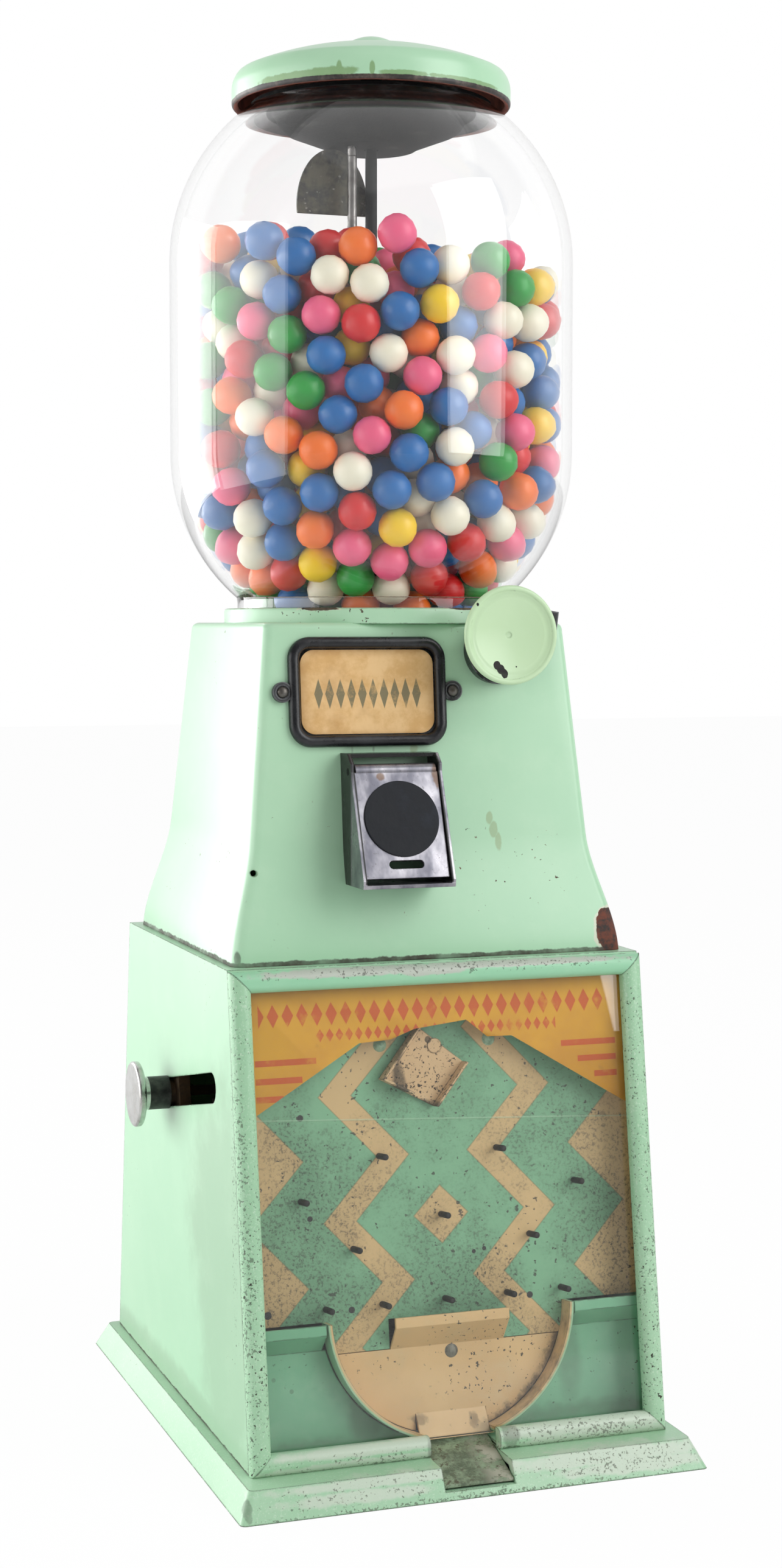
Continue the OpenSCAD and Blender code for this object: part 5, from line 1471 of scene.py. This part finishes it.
def dishPieces():
    d = dish
    bowl = turned("lidDish", dishShape(0) + dishShape(d["sheet"])[::-1], (0, place["axisY"]), 96)
    bowl.data.materials.append(dishPaint())
    low = d["mouth"] - d["drop"] + d["sheet"]
    post = turned("dishPost", [(r, low + z) for r, z in d["post"]], (0, place["axisY"]), 32)
    post.data.materials.append(rodBlack)
    # the rods' ends are let into the floor
    socket = rodStub("dishSocket", d["socket"], (0, place["axisY"]), 32)
    socket.data.materials.append(rodBlack)
    x, y = place["sideRod"]
    rodEnd = rodStub("dishRodEnd", d["rodEnd"], (x, place["axisY"] + y), 24)
    rodEnd.data.materials.append(nickel)
    bpy.ops.mesh.primitive_cylinder_add(
        vertices=64, radius=1, depth=d["bracketThick"] / 1000, rotation=(math.radians(90), 0, 0),
        location=metres((d["bracketX"], d["bracketY"], d["bracketZ"])),
    )
    plate = bpy.context.object
    plate.name = "dishBracket"
    plate.scale = (d["bracketWide"] / 1000, d["bracketHigh"] / 1000, 1)
    settle(plate)
    cuts = ((d["bracketFoot"], (0, 0, -1)), (d["mouth"] - d["drop"], (0, 0, 1)))
    for height, away in cuts:
        editAll(plate)
        bpy.ops.mesh.bisect(plane_co=(0, 0, height / 1000), plane_no=away, use_fill=True, clear_outer=True)
        leaveEdit()
    bevel = plate.modifiers.new("edge", "BEVEL")
    bevel.width = 0.0003
    bevel.segments = 2
    bevel.angle_limit = math.radians(50)
    applyModifiers(plate)
    smoothByAngle(plate, 30)
    plate.data.materials.append(bracketMetal())
    for one in (bowl, post, socket, rodEnd, plate):
        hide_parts("lid_cup")
        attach(one, "lid")


dishPieces()
print("lid dish made")


# upper housing with round corners

housing = {
    "width": 128.6, "depth": 115.6, "corner": 5, "topRound": 2.4, "wall": 2.5,
    "outletHalf": 16, "outletZ": (244, 274), "slotX": 45.5, "slotHalf": 10.3, "slotZ": (319, 334),
    "shaftBore": 3.5, "vent": (-72, -62, 237.4), "ventRadius": 1.3, "flareSteps": 18,
    "collar": [
        (57.3, 335.6), (62.6, 335.6), (62.6, 340.6), (62.2, 341.6), (61.2, 342), (58.4, 342), (57.6, 341.6),
        (57.3, 340.8),
    ],
}


def cutWith(piece, cutters):
    for cutter in cutters:
        modifier = piece.modifiers.new("cut", "BOOLEAN")
        modifier.operation = "DIFFERENCE"
        modifier.solver = "EXACT"
        modifier.object = cutter
    applyModifiers(piece)
    for cutter in cutters:
        bpy.data.objects.remove(cutter)


def cutterBlock(low, high):
    bpy.ops.mesh.primitive_cube_add(size=1)
    block = bpy.context.object
    block.scale = [(h - l) / 1000 for l, h in zip(low, high)]
    block.location = [(h + l) / 2000 for l, h in zip(low, high)]
    settle(block)
    return block


def cutterRod(centre, radius, length, alongY=True, sides=48):
    bpy.ops.mesh.primitive_cylinder_add(
        vertices=sides, radius=radius / 1000, depth=length / 1000,
        location=metres(centre), rotation=(math.radians(90) if alongY else 0, 0, 0),
    )
    rod = bpy.context.object
    settle(rod)
    return rod


def frontOpening(x, half, heights):
    return cutterBlock((x - half, -90, heights[0]), (x + half, -40, heights[1]))


def housingPiece():
    h = housing
    bpy.ops.mesh.primitive_plane_add(
        size=1, location=(0, place["axisY"] / 1000, place["cabinetTop"] / 1000)
    )
    piece = bpy.context.object
    piece.name = "housingSkin"
    foot = wallOut(place["cabinetTop"])
    wide, deep = h["width"] + 2 * foot, h["depth"] + 2 * foot
    piece.scale = (wide / 1000, deep / 1000, 1)
    settle(piece)
    editAll(piece)
    bpy.ops.mesh.bevel(offset=h["corner"] / 1000, segments=6, affect="VERTICES")
    # a straight foot, then even steps up the flare
    straight = place["cabinetTop"] + place["flareTop"] - place["flareHigh"]
    levels = [(straight + place["flareHigh"] * i / h["flareSteps"], 0) for i in range(h["flareSteps"] + 1)]
    levels += [(place["housingTop"] - h["topRound"], 0)]
    for i in range(1, 6):
        a = math.radians(90 * i / 5)
        drop, inset = h["topRound"] * (1 - math.sin(a)), h["topRound"] * (1 - math.cos(a))
        levels.append((place["housingTop"] - drop, inset))
    z = place["cabinetTop"]
    bpy.ops.mesh.select_mode(type="FACE")
    bpy.ops.mesh.select_all(action="SELECT")
    for nextZ, inset in levels:
        bpy.ops.mesh.extrude_region_move(TRANSFORM_OT_translate={"value": (0, 0, (nextZ - z) / 1000)})
        newWide = h["width"] + 2 * (wallOut(nextZ) - inset)
        newDeep = h["depth"] + 2 * (wallOut(nextZ) - inset)
        bpy.ops.transform.resize(
            value=(newWide / wide, newDeep / deep, 1),
            center_override=(0, place["axisY"] / 1000, nextZ / 1000),
        )
        wide, deep, z = newWide, newDeep, nextZ
    leaveEdit()
    editAll(piece)
    bpy.ops.mesh.remove_doubles(threshold=0.00001)
    bpy.ops.mesh.normals_make_consistent(inside=False)
    leaveEdit()
    # the underside is opened, then the wall gets its thickness inwards
    selectFaces(piece, lambda face: face.normal.z < -0.9)
    bpy.ops.mesh.delete(type="FACE")
    leaveEdit()
    solid = piece.modifiers.new("wall", "SOLIDIFY")
    solid.thickness = h["wall"] / 1000
    solid.offset = -1
    applyModifiers(piece)
    cutWith(piece, [
        cutterRod((0, place["axisY"], place["housingTop"]), globe["hole"], 20, False, 96),
        frontOpening(place["outletX"], h["outletHalf"], h["outletZ"]),
        frontOpening(h["slotX"], h["slotHalf"], h["slotZ"]),
        cutterRod((place["pushX"], -60, place["pushZ"]), h["shaftBore"], 60),
        cutterRod(h["vent"], h["ventRadius"], 30, True, 16),
    ])
    piece.data.materials.append(housingPaint)
    smoothByAngle(piece, 34)
    collar = turned("collarRing", h["collar"], (0, place["axisY"]), 128)
    collar.data.materials.append(collarPaint)
    for one in (piece, collar):
        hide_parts("upper_housing")
        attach(one, "machine")


housingPiece()
print("housing made")


# name frame, pins and small details

nameFrame = {
    "width": 66.4, "height": 44, "corner": 9, "x": place["nameX"], "z": 308.3,
    "ear": 4.1, "earHigh": 2, "earOut": 35.9, "earRim": 1.3, "earStep": 0.5, "earDip": -0.6,
    "rim": [
        (0.0, 1.4), (0.35, 0.9), (0.6, 0.55), (0.85, 0.3), (0.9, 0.05), (0.9, -0.3), (0.6, -0.6),
        (0.4, -0.9),
    ],
    "lip": (0.2, -1.4),
}


def nameFramePiece():
    n = nameFrame
    bpy.ops.mesh.primitive_plane_add(size=1)
    piece = bpy.context.object
    piece.name = "nameFrameRim"
    piece.scale = (n["width"] / 1000, n["height"] / 1000, 1)
    settle(piece)
    editAll(piece)
    bpy.ops.mesh.bevel(offset=n["corner"] / 1000, segments=10, affect="VERTICES")
    bpy.ops.mesh.select_mode(type="FACE")
    bpy.ops.mesh.select_all(action="SELECT")
    for inset, rise in n["rim"]:
        if inset == 0:
            bpy.ops.mesh.extrude_region_move(TRANSFORM_OT_translate={"value": (0, 0, rise / 1000)})
        else:
            bpy.ops.mesh.inset(thickness=inset / 1000, depth=rise / 1000)
    inset, rise = n["lip"]
    bpy.ops.mesh.inset(thickness=inset / 1000, depth=rise / 1000)
    bpy.ops.mesh.delete(type="FACE")
    leaveEdit()
    piece.data.materials.append(glossBlack)
    smoothByAngle(piece, 50)
    putOnHousing(piece, n["x"], n["z"])
    ears = []
    for side in (-1, 1):
        bpy.ops.mesh.primitive_cylinder_add(
            vertices=32, radius=n["ear"] / 1000, depth=n["earHigh"] / 1000,
            location=(side * n["earOut"] / 1000, 0, n["earHigh"] / 2000),
        )
        ear = bpy.context.object
        ear.name = "nameEar" + ("Left" if side < 0 else "Right")
        settle(ear)
        selectFaces(ear, lambda face: face.normal.z > 0.9)
        bpy.ops.mesh.inset(thickness=n["earRim"] / 1000)
        bpy.ops.mesh.inset(thickness=n["earStep"] / 1000, depth=n["earDip"] / 1000)
        leaveEdit()
        ear.data.materials.append(glossBlack)
        smoothByAngle(ear, 40)
        putOnHousing(ear, n["x"], n["z"])
        ears.append(ear)
    for one in [piece] + ears:
        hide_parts("name_frame")
        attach(one, "machine")


nameFramePiece()

pins = {
    "low": 59, "pitch": 25, "field": -17.0, "long": 8.3, "thick": 1.25,
    "rows": [
        (0, (-2, 0, 2)), (0, (-1.06, 1.06)), (0.9, (-1.5, 1.5)), (1.33, (0,)), (1.7, (-2.33, 2.33)),
        (2.32, (-1, 1)),
    ],
    "tip": [(0.25, 0.25), (0.5, 0.15)],
}


def nail(name):
    # a short pin with a rounded end, standing on z = 0
    bpy.ops.mesh.primitive_cylinder_add(
        vertices=20, radius=pins["thick"] / 1000, depth=pins["long"] / 1000,
        location=(0, 0, pins["long"] / 2000),
    )
    piece = bpy.context.object
    piece.name = name
    settle(piece)
    selectFaces(piece, lambda face: face.normal.z > 0.9)
    for inset, rise in pins["tip"]:
        bpy.ops.mesh.inset(thickness=inset / 1000)
        bpy.ops.transform.translate(value=(0, 0, rise / 1000))
    leaveEdit()
    smoothByAngle(piece, 60)
    return piece


def pinPieces():
    made = []
    for rise, row in pins["rows"]:
        for share in row:
            one = nail("fieldPin")
            putOnFront(one, share * pins["pitch"], pins["low"] + rise * pins["pitch"], pins["field"])
            made.append(one)
    deselectAll()
    for one in made:
        one.select_set(True)
    bpy.context.view_layer.objects.active = made[0]
    bpy.ops.object.join()
    piece = bpy.context.object
    piece.name = "fieldPins"
    piece.data.materials.clear()
    piece.data.materials.append(pinBlack)
    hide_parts("playfield_pins")
    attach(piece, "machine")


pinPieces()

spring = {
    "x": place["pushX"], "z": place["pushZ"], "start": -72.2, "end": -53.3, "coil": 3.2, "wire": 0.4,
    "turns": 7, "push": 12.6,
}


def springPiece():
    # a wound wire round the push shaft
    s = spring
    steps = s["turns"] * 20
    points = []
    for i in range(steps + 1):
        a = math.tau * i / 20
        along = s["start"] + (s["end"] - s["start"]) * i / steps
        points.append((s["x"] + s["coil"] * math.cos(a), along, s["z"] + s["coil"] * math.sin(a)))
    piece = drawnLine("returnSpring", points)
    leaveEdit()
    settle(piece)
    bpy.ops.object.convert(target="CURVE")
    piece = bpy.context.object
    piece.data.bevel_depth = s["wire"] / 1000
    piece.data.bevel_resolution = 2
    piece.data.use_fill_caps = True
    bpy.ops.object.convert(target="MESH")
    piece = bpy.context.object
    editAll(piece)
    bpy.ops.mesh.remove_doubles(threshold=0.00001)
    bpy.ops.mesh.normals_make_consistent(inside=False)
    leaveEdit()
    smoothByAngle(piece, 60)
    piece.data.materials.append(springSteel)
    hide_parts("push_spring")
    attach(piece, "plunger")
    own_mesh(piece)


springPiece()
print("small pieces made")


# floor, camera and lights

studio = {
    "fill": 0.34, "backGlow": 1.0, "frontGlow": 0.22, "backward": (0.331, 0.943, 0.0),
    "camera": (-0.3389, -0.98341, 0.33529), "forward": (0.3306, 0.9415, -0.0651), "lens": 56.2,
    # each lamp's name, place, aim, width, height and power
    "lamps": [
        ("rightKey", (1.05, -1.15, 0.95), (0, 0, 0.3), 1.1, 1.3, 18),
        ("leftBox", (-1.5, 0.05, 0.45), (0, 0, 0.25), 1.4, 1.0, 12),
        ("rimBox", (-1.2, 1.35, 0.42), (0, 0, 0.28), 1.3, 1.2, 24),
        ("topBox", (0.1, -0.4, 1.7), (0, 0, 0.3), 1.7, 1.7, 4),
    ],
}


def makeFloor():
    bpy.ops.mesh.primitive_plane_add(size=14)
    floor = bpy.context.object
    floor.name = "studioFloor"
    material = bpy.data.materials.new("paleFloor")
    material.use_nodes = True
    tree = material.node_tree
    shader = tree.nodes["Principled BSDF"]
    shader.inputs["Base Color"].default_value = (0.9, 0.9, 0.9, 1)
    shader.inputs["Roughness"].default_value = 0.9
    glow = addNode(tree, "ShaderNodeEmission", None, {"Color": (1, 1, 1, 1), "Strength": 1.0})
    path = addNode(tree, "ShaderNodeLightPath").outputs
    share = times(tree, most(tree, path["Is Camera Ray"], path["Is Transmission Ray"]), 0.97)
    shadeOver(tree, share, shader, glow)
    floor.data.materials.append(material)


def mixNumber(tree, share, first, second):
    node = addNode(tree, "ShaderNodeMix", {"data_type": "FLOAT"})
    for socket, value in ((0, share), (2, first), (3, second)):
        feed(tree, node.inputs[socket], value)
    return node.outputs[0]


def makeWorld():
    world = bpy.data.worlds.new("whiteStudio")
    bpy.context.scene.world = world
    world.use_nodes = True
    tree = world.node_tree
    background = tree.nodes["Background"]
    # behind the object the studio is a white sweep, in front of it a dim room
    direction = addNode(tree, "ShaderNodeTexCoord").outputs["Generated"]
    backward = vectorMaths(tree, "DOT_PRODUCT", direction, studio["backward"])
    sweep = ramp(tree, backward, 0.25, 0.42, studio["frontGlow"], studio["backGlow"])
    path = addNode(tree, "ShaderNodeLightPath").outputs
    seen = most(tree, path["Is Camera Ray"], path["Is Transmission Ray"])
    level = mixNumber(tree, path["Is Glossy Ray"], studio["fill"], sweep)
    background.inputs["Color"].default_value = (1, 1, 1, 1)
    feed(tree, background.inputs["Strength"], mixNumber(tree, seen, level, 1.0))


def softbox(name, spot, target, width, height, power):
    bpy.ops.object.light_add(type="AREA", location=spot)
    lamp = bpy.context.object
    lamp.name = name
    lamp.data.shape = "RECTANGLE"
    lamp.data.size = width
    lamp.data.size_y = height
    lamp.data.energy = power
    lamp.rotation_euler = (Vector(target) - Vector(spot)).to_track_quat("-Z", "Y").to_euler()


def makeCamera():
    bpy.ops.object.camera_add(location=studio["camera"])
    camera = bpy.context.object
    camera.rotation_euler = Vector(studio["forward"]).to_track_quat("-Z", "Y").to_euler()
    camera.data.sensor_width = 36
    camera.data.lens = studio["lens"]
    bpy.context.scene.camera = camera


makeFloor()
makeWorld()
for lamp in studio["lamps"]:
    softbox(*lamp)
makeCamera()
bpy.context.scene.view_settings.view_transform = "Standard"

print("stage made")
